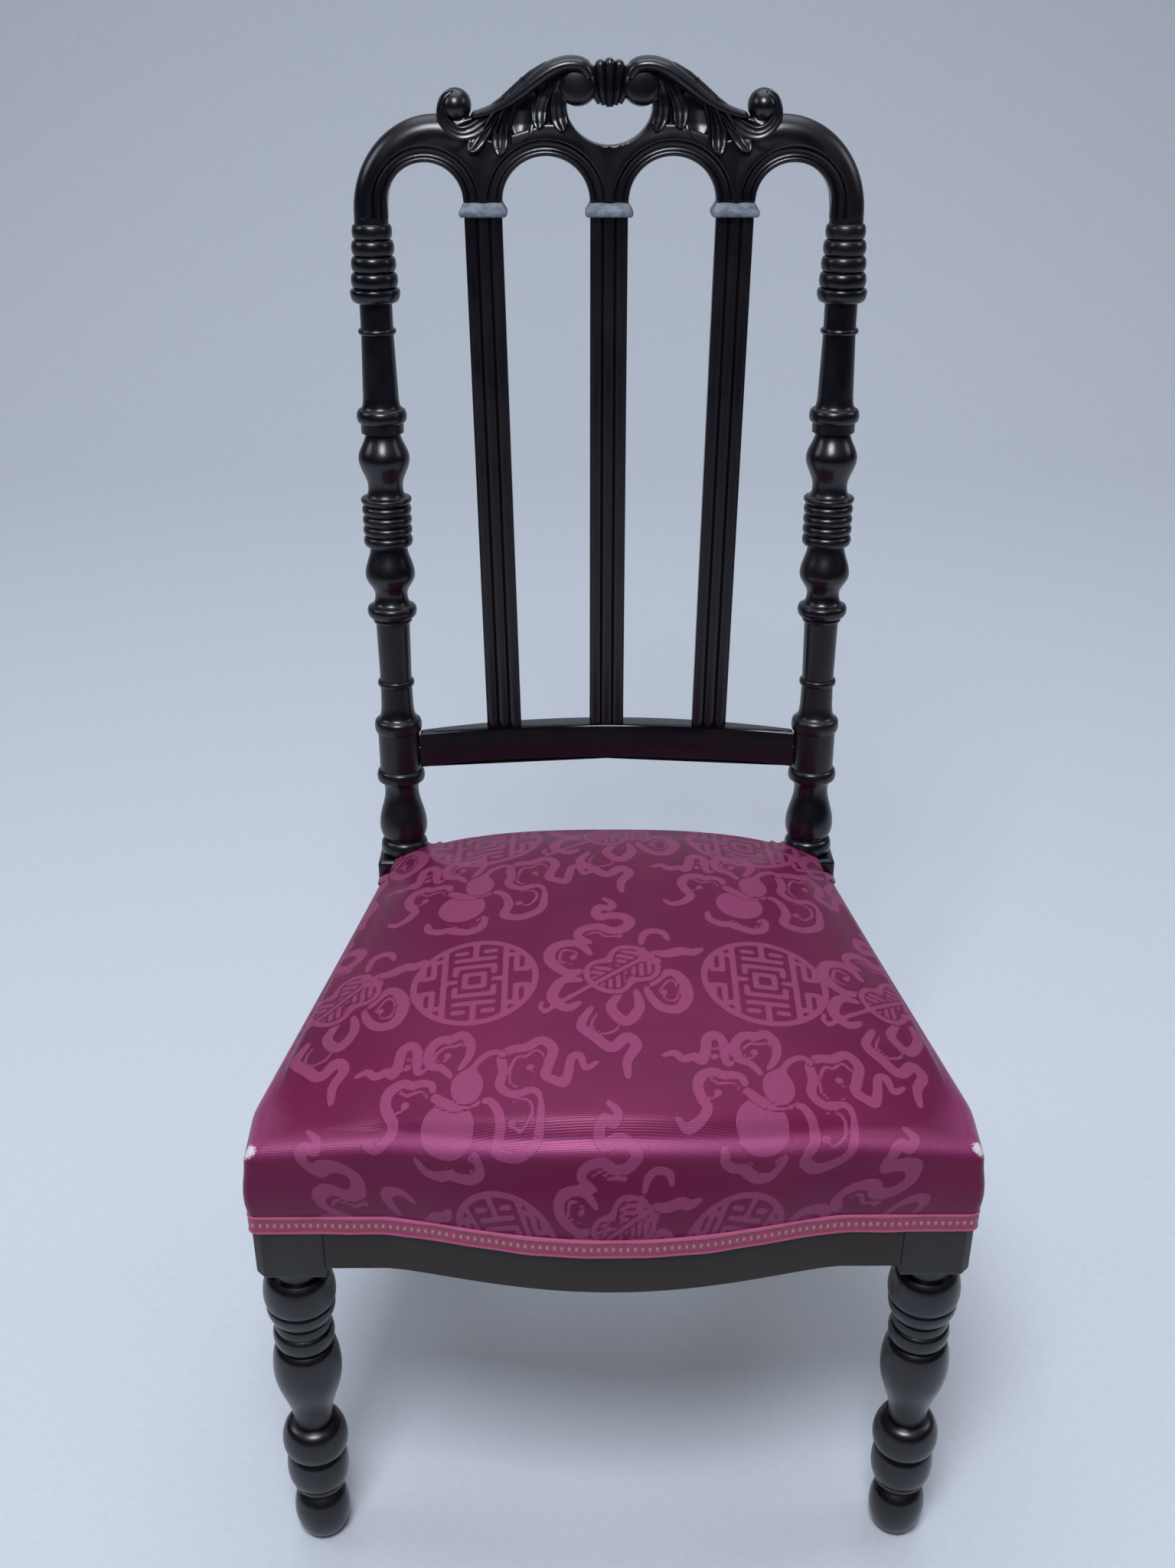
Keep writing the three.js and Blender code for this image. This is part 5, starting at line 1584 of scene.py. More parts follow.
    def palmette(self) -> list[Skin]:
        """Five upright lobes that fan out from the pierced opening between the volutes."""
        lobes = []
        for share in (-1.0, 1.0, -0.5, 0.5, 0.0):
            side = abs(share)
            front = 9.0 - 1.2 * side
            spine = ((6 * share, 951.5 + 2.5 * side), (9.5 * share, 961), (12 * share, 971),
                     (12.6 * share, 982.2 - 4.4 * side**2))
            heights = (front - 1.5, front, front + 0.6, front)
            lobe = CarvedLeaf(spine, (5.6, 7.4, 8.2, 7.4), heights, trough=-2.0, rib=0.0, sink=front, rows=30,
                              columns=14)
            lobes.append(lobe.skin())
        return lobes

    @staticmethod
    def carved(name: str, skin: Skin, sharp_degrees: float) -> bpy.types.Object:
        """Makes one piece of the crest from a skin in the leaning back's own directions.

        Args:
            name: the piece's name.
            skin: its skin.
            sharp_degrees: edges that turn by more than this stay crisp.

        Returns:
            The piece.
        """
        placed = Skin(PLAN.in_back(skin.points), skin.faces)
        return piece(name, placed, EBONISED, ["crest_rail"], sharp_degrees)

    def build(self) -> None:
        """Makes the board, the two leaf sprays and the palmette."""
        low, high = np.array([-1.5, 872.0, -15.0]), np.array([180.0, 988.0, 16.0])
        half = surface_net(self.board, low, high, self.step)
        seam = 0.6 * self.step
        across = half.points[:, 0]
        faces = [group[(across[group] > -seam).all(1)] for group in half.faces]
        points = np.column_stack([np.where(np.abs(across) < seam, 0.0, across), half.points[:, 1:]])
        right = Skin(points, faces)
        tidy_seam(self.carved("crest_board", together([right, right.mirrored()]), 60.0))
        for side, skin in both_sides(together([leaf.skin() for leaf in self.carving()])):
            self.carved(f"crest_leaves_{side}", skin, 50.0)
        self.carved("crest_palmette", together(self.palmette()), 50.0)


def tidy_seam(made: bpy.types.Object) -> None:
    """Merges the points that two mirrored halves share and drops points that no face uses."""
    mesh = bmesh.new()
    mesh.from_mesh(made.data)
    bmesh.ops.remove_doubles(mesh, verts=mesh.verts, dist=0.00005)
    loose = [v for v in mesh.verts if not v.link_faces]
    bmesh.ops.delete(mesh, geom=loose, context="VERTS")
    mesh.to_mesh(made.data)
    mesh.free()


# Seat frame


@dataclass
class SeatRails:
    """The four show-wood rails, each stepped in above for the cover."""

    front_thickness: float = 26.0
    side_thickness: float = 24.0
    back_thickness: float = 22.0
    edge: float = 1.6

    def rail(self, ring_at: Callable[[float, float], Array]) -> Skin:
        """A rail from its rings, its upper part drawn in by the rebate.

        Args:
            ring_at: gives the rail's ring at a level and an inset.

        Returns:
            The closed skins of both parts.
        """
        return together([
            tube(np.array([ring_at(level, inset) for level, inset in levels]))
            for levels in stepped_levels(PLAN.rail_bottom, self.edge)])

    def front_ring(self, level: float, inset: float) -> Array:
        """One ring of the front rail, which follows the serpentine between the leg blocks."""
        end = PLAN.leg_x - PLAN.block_half - PLAN.fit
        x = np.linspace(-end, end, 97)
        front = np.column_stack([x, PLAN.front(x)])
        plan = inset_polygon(np.vstack([front, front[::-1] + (0, self.front_thickness)]), inset)
        return np.column_stack([plan, np.full(len(plan), level)])

    def side_ring(self, level: float, inset: float) -> Array:
        """One ring of the right-hand rail, which runs from the front block to the leaning post."""
        y = np.linspace(PLAN.block_half + PLAN.fit, PLAN.post_front(level) - PLAN.fit, 7)
        outer = np.column_stack([PLAN.side(y) - inset, y])
        inner = np.column_stack([PLAN.side(y) - self.side_thickness + min(inset, self.edge), y])
        plan = np.vstack([outer, inner[::-1]])
        return np.column_stack([plan, np.full(len(plan), level)])

    def back_ring(self, level: float, inset: float) -> Array:
        """One ring of the back rail, which fills the gap between the leaning posts."""
        half = PLAN.post_inner(level) - PLAN.fit
        rear = PLAN.post_rear(level) - inset
        front = PLAN.post_rear(level) - self.back_thickness + min(inset, self.edge)
        plan = [(-half, front), (half, front), (half, rear), (-half, rear)]
        return np.column_stack([plan, np.full(len(plan), level)])

    def build(self) -> None:
        """Makes the front, side and back rails."""
        piece("show_rail_front", self.rail(self.front_ring), SHOW_WOOD, ["front_seat_rail"])
        for side, skin in both_sides(self.rail(self.side_ring)):
            piece(f"show_rail_{side}", skin, SHOW_WOOD, [f"side_seat_rail_{side}"])
        piece("show_rail_back", self.rail(self.back_ring), SHOW_WOOD, ["back_seat_rail"])


# Upholstery


@dataclass
class SeatOutline:
    """The seat's outline as a closed row of points, split at its corners so that every loop matches."""

    front_steps: int = 30
    corner_steps: int = 8
    side_steps: int = 44
    notch_steps: int = 5
    rear_steps: int = 29

    @property
    def count(self) -> int:
        """Points in a whole loop."""
        steps = self.front_steps + self.corner_steps + self.side_steps + 2 * self.notch_steps + self.rear_steps
        return 2 * steps

    def half_loop(self, inset: float, z: float, gap: float) -> Array:
        """The right half of the outline, from the middle of the front round to the middle of the rear.

        Args:
            inset: how far it is drawn in.
            z: the height at which the leaning posts are taken.
            gap: the clearance round the posts.

        Returns:
            Points in plan, the last at the middle of the rear.
        """
        half, radius = PLAN.seat_half - inset, PLAN.corner_radius + inset / 4
        t = np.linspace(0, 1, self.front_steps + 1)
        x = (half - radius) * t
        front = np.column_stack([x, PLAN.front(x) + inset])
        angle = np.radians(np.linspace(-90, 0, self.corner_steps + 1))
        corner = np.column_stack([
            half - radius + radius * np.cos(angle),
            -PLAN.block_half + inset + radius + radius * np.sin(angle)])
        notch_y = PLAN.post_front(z) - gap - inset
        notch_x = PLAN.post_inner(z) - gap - inset
        rear_y = PLAN.post_rear(z) - inset
        y = np.linspace(corner[-1, 1], notch_y, self.side_steps + 1)
        side = np.column_stack([PLAN.side(y) - inset, y])
        shelf = evenly(np.array([side[-1], (notch_x, notch_y)]), self.notch_steps + 1)
        cheek = evenly(np.array([(notch_x, notch_y), (notch_x, rear_y)]), self.notch_steps + 1)
        rear = evenly(np.array([(notch_x, rear_y), (0, rear_y)]), self.rear_steps + 1)
        return np.vstack([front, corner[1:], side[1:], shelf[1:], cheek[1:], rear[1:]])

    def loop(self, inset: float, z: float, gap: float) -> Array:
        """The whole outline, anticlockwise from the middle of the front."""
        right = self.half_loop(inset, z, gap)
        left = right[::-1][1:-1] * (-1, 1)
        return np.vstack([right, left])

    @property
    def corner_place(self) -> int:
        """The number of the point in the middle of the right front corner."""
        return self.front_steps + self.corner_steps // 2

    @property
    def notch_place(self) -> int:
        """The number of the point in the inner corner of the right notch."""
        return self.front_steps + self.corner_steps + self.side_steps + self.notch_steps

    def round_posts(self) -> Array:
        """Whether each point lies round a post, where nothing hangs over a rail."""
        place = np.arange(self.count)
        from_front = np.minimum(place, self.count - place)
        start = self.front_steps + self.corner_steps + self.side_steps
        return (from_front > start) & (from_front < start + 2 * self.notch_steps)


@dataclass
class StuffedSeat:
    """The damask cover over its stuffing, rounded at a stitched edge and crowned in the middle."""

    outline: SeatOutline = field(default_factory=SeatOutline)
    cover_bottom: float = 330.4
    ridge_front: float = 391.0
    ridge_rear: float = 385.0
    ridge_lift: float = 9.0
    rear_lift: float = 9.0
    bow_lift: float = 5.0
    bow_back: float = 9.0
    edge_round: float = 13.0
    edge_turn: float = math.radians(70)
    crown: float = 34.0
    post_gap: float = 1.0
    clear: float = 0.2
    notch_clear: float = 2.4
    side_swell: float = 2.4
    side_rows: int = 7
    edge_rows: int = 5
    crown_square: float = 3.2
    crown_power: float = 2.2
    # How far each row of the hem lies in from the outline and up from the cover's bottom.
    hem: Levels = ((1.9, 0.0), (2.1, 8.0), (2.2, 22.4), (22.0, 26.9), (110.0, 27.2))
    # How far each line of a fold stands off the cover, from its outer edge to the inner.
    fold_lift: Sequence[float] = (0.2, 1.5, 2.0, 1.5, 1.1, 1.2, 1.8, 1.3, 0.2)
    stuffing_inset: float = 3.0
    stuffing_foot: float = 6.2
    swell_steps: int = 20
    swell_cap: float = 4.0

    def ridge(self, x: Array, y: Array) -> Array:
        """The height of the stitched edge, lower behind and a little higher in the middle of each side."""
        rear = PLAN.post_rear(self.ridge_rear)
        back = (y + PLAN.block_half) / (rear + PLAN.block_half)
        lift = self.ridge_lift + self.rear_lift * np.clip(back, 0, 1) ** 3
        return (self.ridge_front + (self.ridge_rear - self.ridge_front) * back
                + lift * (1 - (x / PLAN.seat_half) ** 2) + self.bow_lift * self.bow(x, y))

    @staticmethod
    def bow(x: Array, y: Array) -> Array:
        """1 in the middle of the front's bow, falling to 0 beside and behind it."""
        return np.exp(-((x / 95) ** 2)) * np.clip((60 - y) / 60, 0, 1)

    def rings(self, inset: float) -> tuple[Array, Array]:
        """The hanging side and rounded edge as rings, from the lowest up, with their flat places.

        The side bellies out by a power of a sine, and the edge is part of a circle.

        Args:
            inset: how far the skin lies inside the cover's outer face.

        Returns:
            The rings and, for each point, its place on the flat cloth.
        """
        edge_z = self.ridge_rear - self.edge_round
        base = np.where(self.outline.round_posts(), PLAN.rail_top + self.notch_clear, self.cover_bottom)
        rows = []
        for share in np.linspace(0, 1, self.side_rows):
            swell = self.side_swell * math.sin(math.pi * min(share * 1.15, 1.0)) ** 0.8
            x, y = self.outline.loop(self.clear + inset - swell, edge_z, self.post_gap + swell).T
            y = y + self.bow_back * self.bow(x, y) * share**1.5
            top = self.ridge(x, y) - self.edge_round - inset
            rows.append(np.column_stack([x, y, base + (top - base) * share]))
        for angle in np.linspace(0, self.edge_turn, self.edge_rows + 1)[1:]:
            into = self.edge_round * (1 - math.cos(angle))
            x, y = self.outline.loop(self.clear + inset + into, edge_z, self.post_gap).T
            y = y + self.bow_back * self.bow(x, y)
            z = self.ridge(x, y) - inset - self.edge_round * (1 - math.sin(angle))
            rows.append(np.column_stack([x, y, z]))
        rings = np.array(rows)
        steps = np.linalg.norm(np.diff(rings, axis=0), axis=2)
        drop = np.vstack([steps[::-1].cumsum(0)[::-1], np.zeros(len(base))])
        way = self.outline.loop(-10.0, edge_z, 11.0) - self.outline.loop(0.0, edge_z, 1.0)
        way /= np.maximum(np.linalg.norm(way, axis=1), TINY)[:, None]
        return rings, rings[-1, :, :2] + drop[..., None] * way

    def patch(self, loop: Array) -> Array:
        """Fills a loop with a grid, a Coons patch: both blends of opposite sides less the blend of corners.

        Args:
            loop: the loop's points, anticlockwise from the middle of the front.

        Returns:
            Points of the grid, from the front row to the rear and from left to right.
        """
        o = self.outline
        right, top = o.corner_place, o.notch_place
        n = len(loop)
        front = loop[np.arange(-right, right + 1) % n]
        east = loop[np.arange(right, top + 1)]
        rear = loop[np.arange(top, n - top + 1)][::-1]
        west = loop[(n - np.arange(right, top + 1)) % n]
        u = np.linspace(0, 1, len(front))[None, :, None]
        v = np.linspace(0, 1, len(east))[:, None, None]
        ruled = (1 - v) * front[None] + v * rear[None] + (1 - u) * west[:, None] + u * east[:, None]
        corners = ((1 - u) * (1 - v) * front[0] + u * (1 - v) * front[-1]
                   + (1 - u) * v * rear[0] + u * v * rear[-1])
        return ruled - corners

    def crown_over(self, plan: Array) -> Array:
        """Lifts a filled plan to the crowned top, which falls by a power of the distance from the middle.

        That distance is itself a power sum of the shares across and along, so it runs with the squarish edge.

        Args:
            plan: the grid's places in plan.

        Returns:
            The grid's points.
        """
        rows, columns = plan.shape[:2]
        u = np.abs(np.linspace(-1, 1, columns))
        v = np.abs(np.linspace(-1, 1, rows))[:, None]
        share = np.clip((u**self.crown_square + v**self.crown_square) ** (1 / self.crown_square), 0, 1)
        x, y = plan[..., 0], plan[..., 1]
        return np.dstack([x, y, self.ridge(x, y) + self.crown * (1 - share**self.crown_power)])

    def hem_rings(self) -> Array:
        """The hem, which turns up inside the cover and in over the rails.

        Returns:
            Its rings, from the lowest to the innermost.
        """
        rows = []
        for inset, height in self.hem:
            z = np.full(self.outline.count, self.cover_bottom + height)
            over = np.maximum(z, PLAN.rail_top + self.notch_clear + 0.2)
            loop = self.outline.loop(self.clear + inset, PLAN.rail_top, self.post_gap)
            rows.append(np.column_stack([loop, np.where(self.outline.round_posts(), over, z)]))
        return np.array(rows)

    def cover_skin(self) -> Skin:
        """The cover: side rings, the crowned patch inside the edge, and a hem that turns up inside.

        Returns:
            The closed skin with the flat places of the cloth.
        """
        rings, flat = self.rings(0.0)
        n = rings.shape[1]
        start = len(rings) * n
        grid = self.crown_over(self.patch(rings[-1, :, :2]))
        numbers, inner = self.patch_numbers(grid, start - n, start, n)
        top = grid.reshape(-1, 3)[inner]
        hem = self.hem_rings()
        middle = hem[-1].mean(0)
        points = np.vstack([rings.reshape(-1, 3), top, hem.reshape(-1, 3), middle])
        flats = np.vstack([flat.reshape(-1, 2), top[:, :2], np.tile(flat[0], (len(hem), 1)), middle[:2]])
        first = start + len(top)
        last = first + (len(hem) - 1) * n
        here = np.arange(n)
        after = (here + 1) % n
        join = np.column_stack([after, first + after, first + here, here])
        hem_faces = grid_faces(len(hem), n, True, first)[:, ::-1]
        fan = np.column_stack([last + after, np.full(n, last + n), last + here])
        faces = [grid_faces(len(rings), n), numbers[grid_faces(*grid.shape[:2], False)], join, hem_faces, fan]
        return Skin(points, faces, flats).outward()

    def build(self) -> None:
        """Makes the cover and the stuffing inside it."""
        skin = self.cover_skin()
        made = piece("damask_cover", skin, DAMASK, ["seat_cover"], 180.0)
        self.swell(made)
        refine(made, 2)
        paint_motifs(made, self)
        self.post_folds()
        pad = piece("hair_stuffing", self.stuffing_skin(), STUFFING_HAIR, ["seat_stuffing"], 60.0)

    def post_folds(self) -> None:
        """The cloth turned in round each back post, as a fold that lies on the cover's rounded edge.

        Its section runs up the cover's own side rings, lifted off them by a millimetre or two.
        """
        rings, _ = self.rings(0.0)
        o = self.outline
        start = o.front_steps + o.corner_steps + o.side_steps - 1
        places = np.arange(start, start + 2 * o.notch_steps + 2)
        last = len(rings) - 1
        rows = np.linspace(self.side_rows + 0.2, last, len(self.fold_lift))
        low = np.floor(rows).astype(int).clip(0, last - 1)
        part = (rows - low)[:, None, None]
        path = (rings[low] * (1 - part) + rings[low + 1] * part)[:, places]
        path = np.array([catmull_rom(line, 60) for line in path])
        normal = np.cross(np.gradient(path, axis=1), np.gradient(path, axis=0))
        normal /= np.maximum(np.linalg.norm(normal, axis=2), TINY)[..., None]
        normal *= np.sign((normal[..., 2:] + 0.01).mean())
        ripple = 1 + 0.16 * np.sin(np.linspace(0, 19, path.shape[1]))[:, None]
        outer = path + normal * np.array(self.fold_lift)[:, None, None] * ripple
        under = (path - 0.3 * normal)[1:-1][::-1]
        skin = tube(np.concatenate([outer, under]).transpose(1, 0, 2))
        skin.flat = skin.points[:, :2].copy()
        for side, fold in both_sides(skin):
            made = piece(f"cover_fold_{side}", fold, DAMASK, ["seat_cover"], 60.0)
            # The folds take three quarters of the pale edge colour: painted sheen together with wear.
            for name, value in (("motif", OFF_FIGURES), ("wear", 0.75), ("fray", 0.0)):
                store(made.data, name, np.full(len(made.data.vertices), value))

    def stuffing_skin(self) -> Skin:
        """The stuffing: the cover's own rings and crown, a little inside them, on a flat foot.

        Returns:
            The closed skin.
        """
        foot = PLAN.rail_top + self.stuffing_foot
        rings, _ = self.rings(self.stuffing_inset)
        rings[..., 2] = np.maximum(rings[..., 2], foot)
        n = rings.shape[1]
        start = len(rings) * n
        grid = self.crown_over(self.patch(rings[-1, :, :2])) - (0, 0, self.stuffing_inset)
        numbers, inner = self.patch_numbers(grid, start - n, start, n)
        top = grid.reshape(-1, 3)[inner]
        here = np.arange(n)
        fan = np.column_stack([(here + 1) % n, here, np.full(n, start + len(top))])
        points = np.vstack([rings.reshape(-1, 3), top, (*rings[0, :, :2].mean(0), foot)])
        faces = [grid_faces(len(rings), n), numbers[grid_faces(*grid.shape[:2], False)], fan]
        return Skin(points, faces).outward()

    def patch_numbers(self, grid: Array, ring_base: int, start: int, n: int) -> tuple[Array, Array]:
        """Numbers a patch's points so that those on its rim are the ring's own.

        Args:
            grid: the patch.
            ring_base: the number of the ring's first point.
            start: the number that the first inner point gets.
            n: points in the ring.

        Returns:
            The numbers, and which points of the patch are inner ones.
        """
        rows, columns = grid.shape[:2]
        place = np.arange(rows * columns).reshape(rows, columns)
        right, top = self.outline.corner_place, self.outline.notch_place
        numbers = np.full(rows * columns, -1)
        numbers[place[0]] = ring_base + np.arange(-right, right + 1) % n
        numbers[place[-1]] = ring_base + np.arange(top, n - top + 1)[::-1]
        numbers[place[:, -1]] = ring_base + np.arange(right, top + 1)
        numbers[place[:, 0]] = ring_base + (n - np.arange(right, top + 1)) % n
        inner = numbers < 0
        numbers[inner] = start + np.arange(inner.sum())
        return numbers, inner

    def swell(self, made: bpy.types.Object) -> None:
        """Lets the cover swell under pressure as cloth, held at its tacked and stitched edges, within a cap.

        Args:
            made: the cover.
        """
        mesh = made.data
        before = points_of(mesh)
        count, ring = len(before), self.outline.count
        below_top = (self.side_rows + self.edge_rows) * ring
        held = made.vertex_groups.new(name="tacked")
        fixed = np.concatenate([np.arange(below_top), np.arange(count - len(self.hem) * ring - 1, count)])
        held.add(fixed.tolist(), 1.0, "REPLACE")
        cloth = made.modifiers.new("swell", "CLOTH")
        settings = cloth.settings
        settings.quality = 6
        settings.mass = 0.25
        settings.tension_stiffness = settings.compression_stiffness = 25
        settings.shear_stiffness = 12
        settings.bending_stiffness = 3
        settings.use_pressure = True
        settings.uniform_pressure_force = 4.0
        settings.vertex_group_mass = "tacked"
        settings.effector_weights.gravity = 0
        cloth.collision_settings.use_collision = False
        cloth.point_cache.frame_start = 1
        cloth.point_cache.frame_end = self.swell_steps
        scene = bpy.context.scene
        for step in range(1, self.swell_steps + 1):
            scene.frame_set(step)
        shaped = made.evaluated_get(bpy.context.evaluated_depsgraph_get())
        move = points_of(shaped.data) - before
        made.modifiers.remove(cloth)
        scene.frame_set(1)
        move[:, 2] = np.maximum(move[:, 2], 0)
        # The top's movement eases out towards its stitched edge.
        right, top = self.outline.corner_place, self.outline.notch_place
        across = 1 - np.abs(np.linspace(-1, 1, 2 * right + 1))[None, 1:-1]
        along = 1 - np.abs(np.linspace(-1, 1, top - right + 1))[1:-1, None]
        near = np.clip(np.minimum(across, along) / 0.22, 0, 1)
        move[below_top:below_top + near.size] *= (near**2 * (3 - 2 * near)).reshape(-1, 1)
        far = np.linalg.norm(move, axis=1)
        cap = self.swell_cap * MM
        move *= (cap * np.tanh(far / cap) / np.maximum(far, 1e-9))[:, None]
        mesh.vertices.foreach_set("co", (before + move).astype(np.float32).ravel())
        mesh.update()
        log.info("%s: swelled by up to %.1f mm", made.name, 1000 * float(np.linalg.norm(move, axis=1).max()))


def refine(made: bpy.types.Object, levels: int) -> None:
    """Subdivides a piece and applies it, keeping its own map."""
    change = made.modifiers.new("refine", "SUBSURF")
    change.levels = change.render_levels = levels
    change.uv_smooth = "PRESERVE_BOUNDARIES"
    graph = bpy.context.evaluated_depsgraph_get()
    shaped = made.evaluated_get(graph)
    mesh = bpy.data.meshes.new_from_object(shaped, preserve_all_data_layers=True, depsgraph=graph)
    made.modifiers.remove(change)
    old = made.data
    made.data = mesh
    bpy.data.meshes.remove(old)
    mesh.name = made.name


# The damask's figures


THREAD = 2.3
THREAD_GAP = 1.3  # left clear between a thread and the ribbons
GAP = 1.6  # left clear round each form that lies in front
MEDALLION_ROWS = (-101.0, 106.0, 296.0)
GOURD_ROWS = (-17.0, 194.0)
FAN_ROWS = (-94.0, 108.0, 300.0)


@dataclass(frozen=True)
class Stroke:
    """A woven line of a figure: the points it passes through, its width and what its ends taper to."""

    points: Line
    width: float = 8.2
    ends: float = 0.4

    def squashed(self) -> "Stroke":
        """The same line as the gourd's ribbons are woven: narrower, and lower below its middle than above."""
        points = tuple((0.92 * (x + 7), (y + 12) * (0.55 + 0.0024 * (y + 12) if y > -12 else 0.58))
                       for x, y in self.points)
        return Stroke(points, min(self.width, 7.2), self.ends)

    def distance(self, p: Array) -> Array:
        """The signed distance from the ribbon, whose width swells by the root of a sine along it.

        A thread also ends in a round knot.

        Args:
            p: points in the plane.

        Returns:
            A distance for each point.
        """
        line = catmull_rom(self.points, 7 * len(self.points))
        way = np.linspace(0, 1, len(line) - 1)
        half = self.width / 2 * (self.ends + (1 - self.ends) * np.sin(math.pi * way) ** 0.5)
        near = distance_to_line(p, line, half=half)
        if self.width > THREAD:
            return near
        knot = np.hypot(*(p - line[-1]).T) - 1.15 * THREAD
        return np.minimum(near, knot)


GOURD = (
    Stroke(((-5, 40), (-12, 50), (-21, 55), (-22, 69), (-15, 77), (-7, 77), (1, 80), (7, 72), (6.5, 60),
            (0, 47))),
    Stroke(((0, 47), (4, 58), (2, 71), (-5, 70), (-11, 70), (-17, 64), (-15, 57), (-9, 58), (-9, 62)),
           THREAD),
    Stroke(((58, 9), (53, 20), (38, 17), (29, 27.5), (31, 41), (30, 57), (38, 63), (47, 64), (58, 70),
            (66, 61), (63, 46), (61, 35), (68, 29), (74, 26), (77, 38), (79, 52), (85, 54), (89, 41),
            (97, 47))),
    Stroke(((53, 27), (44, 23), (36, 31), (37, 46), (41, 55), (47, 55), (54, 61), (60, 53.5), (59, 41),
            (53, 38), (50, 44)), THREAD),
    Stroke(((13, 12), (22, 12), (28, 0), (30, -18), (27, -38), (38, -46), (48, -41), (56, -28), (58, -4),
            (58, 9))),
    Stroke(((38, 8), (44, 12), (51, 6), (51, -9), (44, -22), (38, -15)), THREAD),
    Stroke(((-17, 23), (-19, 35), (-26, 38), (-33, 37), (-39, 40), (-48, 35), (-51, 24), (-49, 12), (-45, 0),
            (-50, -14), (-60, -22), (-66, -14))),
    Stroke(((-21, 20), (-25, 29), (-32, 29), (-36, 27.5), (-42, 32), (-48, 27), (-47, 17), (-41, 12),
            (-37, 18)), THREAD),
    Stroke(((-25, 50), (-30, 50), (-31, 69), (-36, 76), (-42, 72), (-44, 60), (-47, 50), (-52, 54), (-60, 51),
            (-66, 57), (-74, 54))),
    Stroke(((-33, 55), (-35, 63), (-40, 61), (-41, 55), (-38, 55)), THREAD),
    Stroke(((-33, -35), (-32, -49), (-24, -57), (-16, -57), (-9, -62), (0, -66), (9, -60), (12, -43),
            (10, -38))),
    Stroke(((-30, -38), (-28, -49), (-19, -54), (-13, -49), (-7, -57), (1, -58), (7, -52), (8, -43)), THREAD),
)

FAN = (
    Stroke(((-30, -22), (-42, -32), (-48, -37), (-52, -34), (-51, -29)), 3.4, 0.9),
    Stroke(((-19.5, 3), (-34, 0), (-46, 13), (-44, 27), (-34, 32), (-25, 29.5), (-18, 19))),
    Stroke(((-30, 8), (-39, 13), (-37, 24), (-28, 21), (-30, 16)), THREAD),
    Stroke(((-25, -8), (-37, -8), (-44, -21), (-42, -29), (-34, -35), (-26, -30))),
    Stroke(((23, -13), (34, 0), (43, -5), (47, -21), (41, -35), (30, -35), (23, -27), (19, -16))),
    Stroke(((27, -20), (35.5, -8), (41, -16), (39, -27), (32, -27), (31, -20)), THREAD),
    Stroke(((-18, 32), (-27, 40), (-23, 48), (-12, 51), (-4, 46), (5, 48), (10, 56), (5, 63), (-4, 64),
            (-11, 62), (-14, 68), (-11, 75), (-4, 73), (-2, 79), (-8, 86))),
    Stroke(((-21, 41), (-14, 44), (-7, 39), (2, 40)), THREAD),
    Stroke(((-18, -35), (-25, -51), (-16, -62), (-5, -72), (5, -62), (11, -70), (5, -83), (5, -97))),
    Stroke(((-14, -40), (-18, -51), (-11, -59), (-2, -56), (0, -48)), THREAD),
    Stroke(((12, -19), (14, -35), (5, -48), (-5, -35), (2, -21))),
    Stroke(((17, 30), (19, 41), (25, 46), (33, 44), (36, 36)), 6.0),
    Stroke(((24, 22), (34, 20), (45, 24), (52, 23), (60, 28)), 9.0, 0.12),
)


@dataclass(frozen=True)
class Medallion:
    """A plain round figure: a ring round a symmetrical fret of bars."""

    outer: float = 44.0
    inner: float = 39.5
    stroke: float = 4.2
    bars: tuple[Line, ...] = (
        ((0, 6.5), (6.5, 6.5), (6.5, 0)), ((0, 14.8), (13.2, 14.8)), ((0, 23), (13.2, 23)), ((0, 23), (0, 40)),
        ((13.2, 31), (7, 31)), ((13.2, 0), (21, 0)), ((21, 0), (21, 33)), ((21, 25), (28.6, 25), (28.6, 8)),
        ((28.6, 8), (36, 8), (36, 18)), ((13.2, 14.8), (13.2, 7.6)))

    def distance(self, p: Array) -> Array:
        """The signed distance from the figure, folded into one quarter because the fret is symmetrical.

        Args:
            p: points in the plane.

        Returns:
            A distance for each point.
        """
        ring = np.abs(np.hypot(*p.T) - (self.outer + self.inner) / 2) - (self.outer - self.inner) / 2
        bars = [distance_to_line(np.abs(p), np.array(bar), half=self.stroke / 2) for bar in self.bars]
        return np.minimum(ring, np.minimum.reduce(bars))


def ellipse_distance(p: Array, centre: tuple[float, float], axes: tuple[float, float]) -> Array:
    """Roughly the signed distance from an ellipse: how far its own scale is from 1, over that scale's slope.

    Args:
        p: points in the plane.
        centre: the ellipse's middle.
        axes: half its width and half its height.

    Returns:
        A distance for each point.
    """
    u = (p - centre) / axes
    size = np.hypot(*u.T)
    slope = np.hypot(*(u / axes).T) / np.maximum(size, TINY)
    return (size - 1) / np.maximum(slope, TINY)


def strokes_distance(p: Array, strokes: Sequence[Stroke]) -> Array:
    """The signed distance from the nearest stroke, with a gap between each thread and the ribbons.

    Args:
        p: points in the plane.
        strokes: ribbons and threads.

    Returns:
        A distance for each point.
    """
    ribbons = np.minimum.reduce([s.distance(p) for s in strokes if s.width > THREAD])
    threads = np.minimum.reduce([s.distance(p) for s in strokes if s.width <= THREAD])
    return np.minimum(ribbons, np.maximum(threads, THREAD_GAP - ribbons))


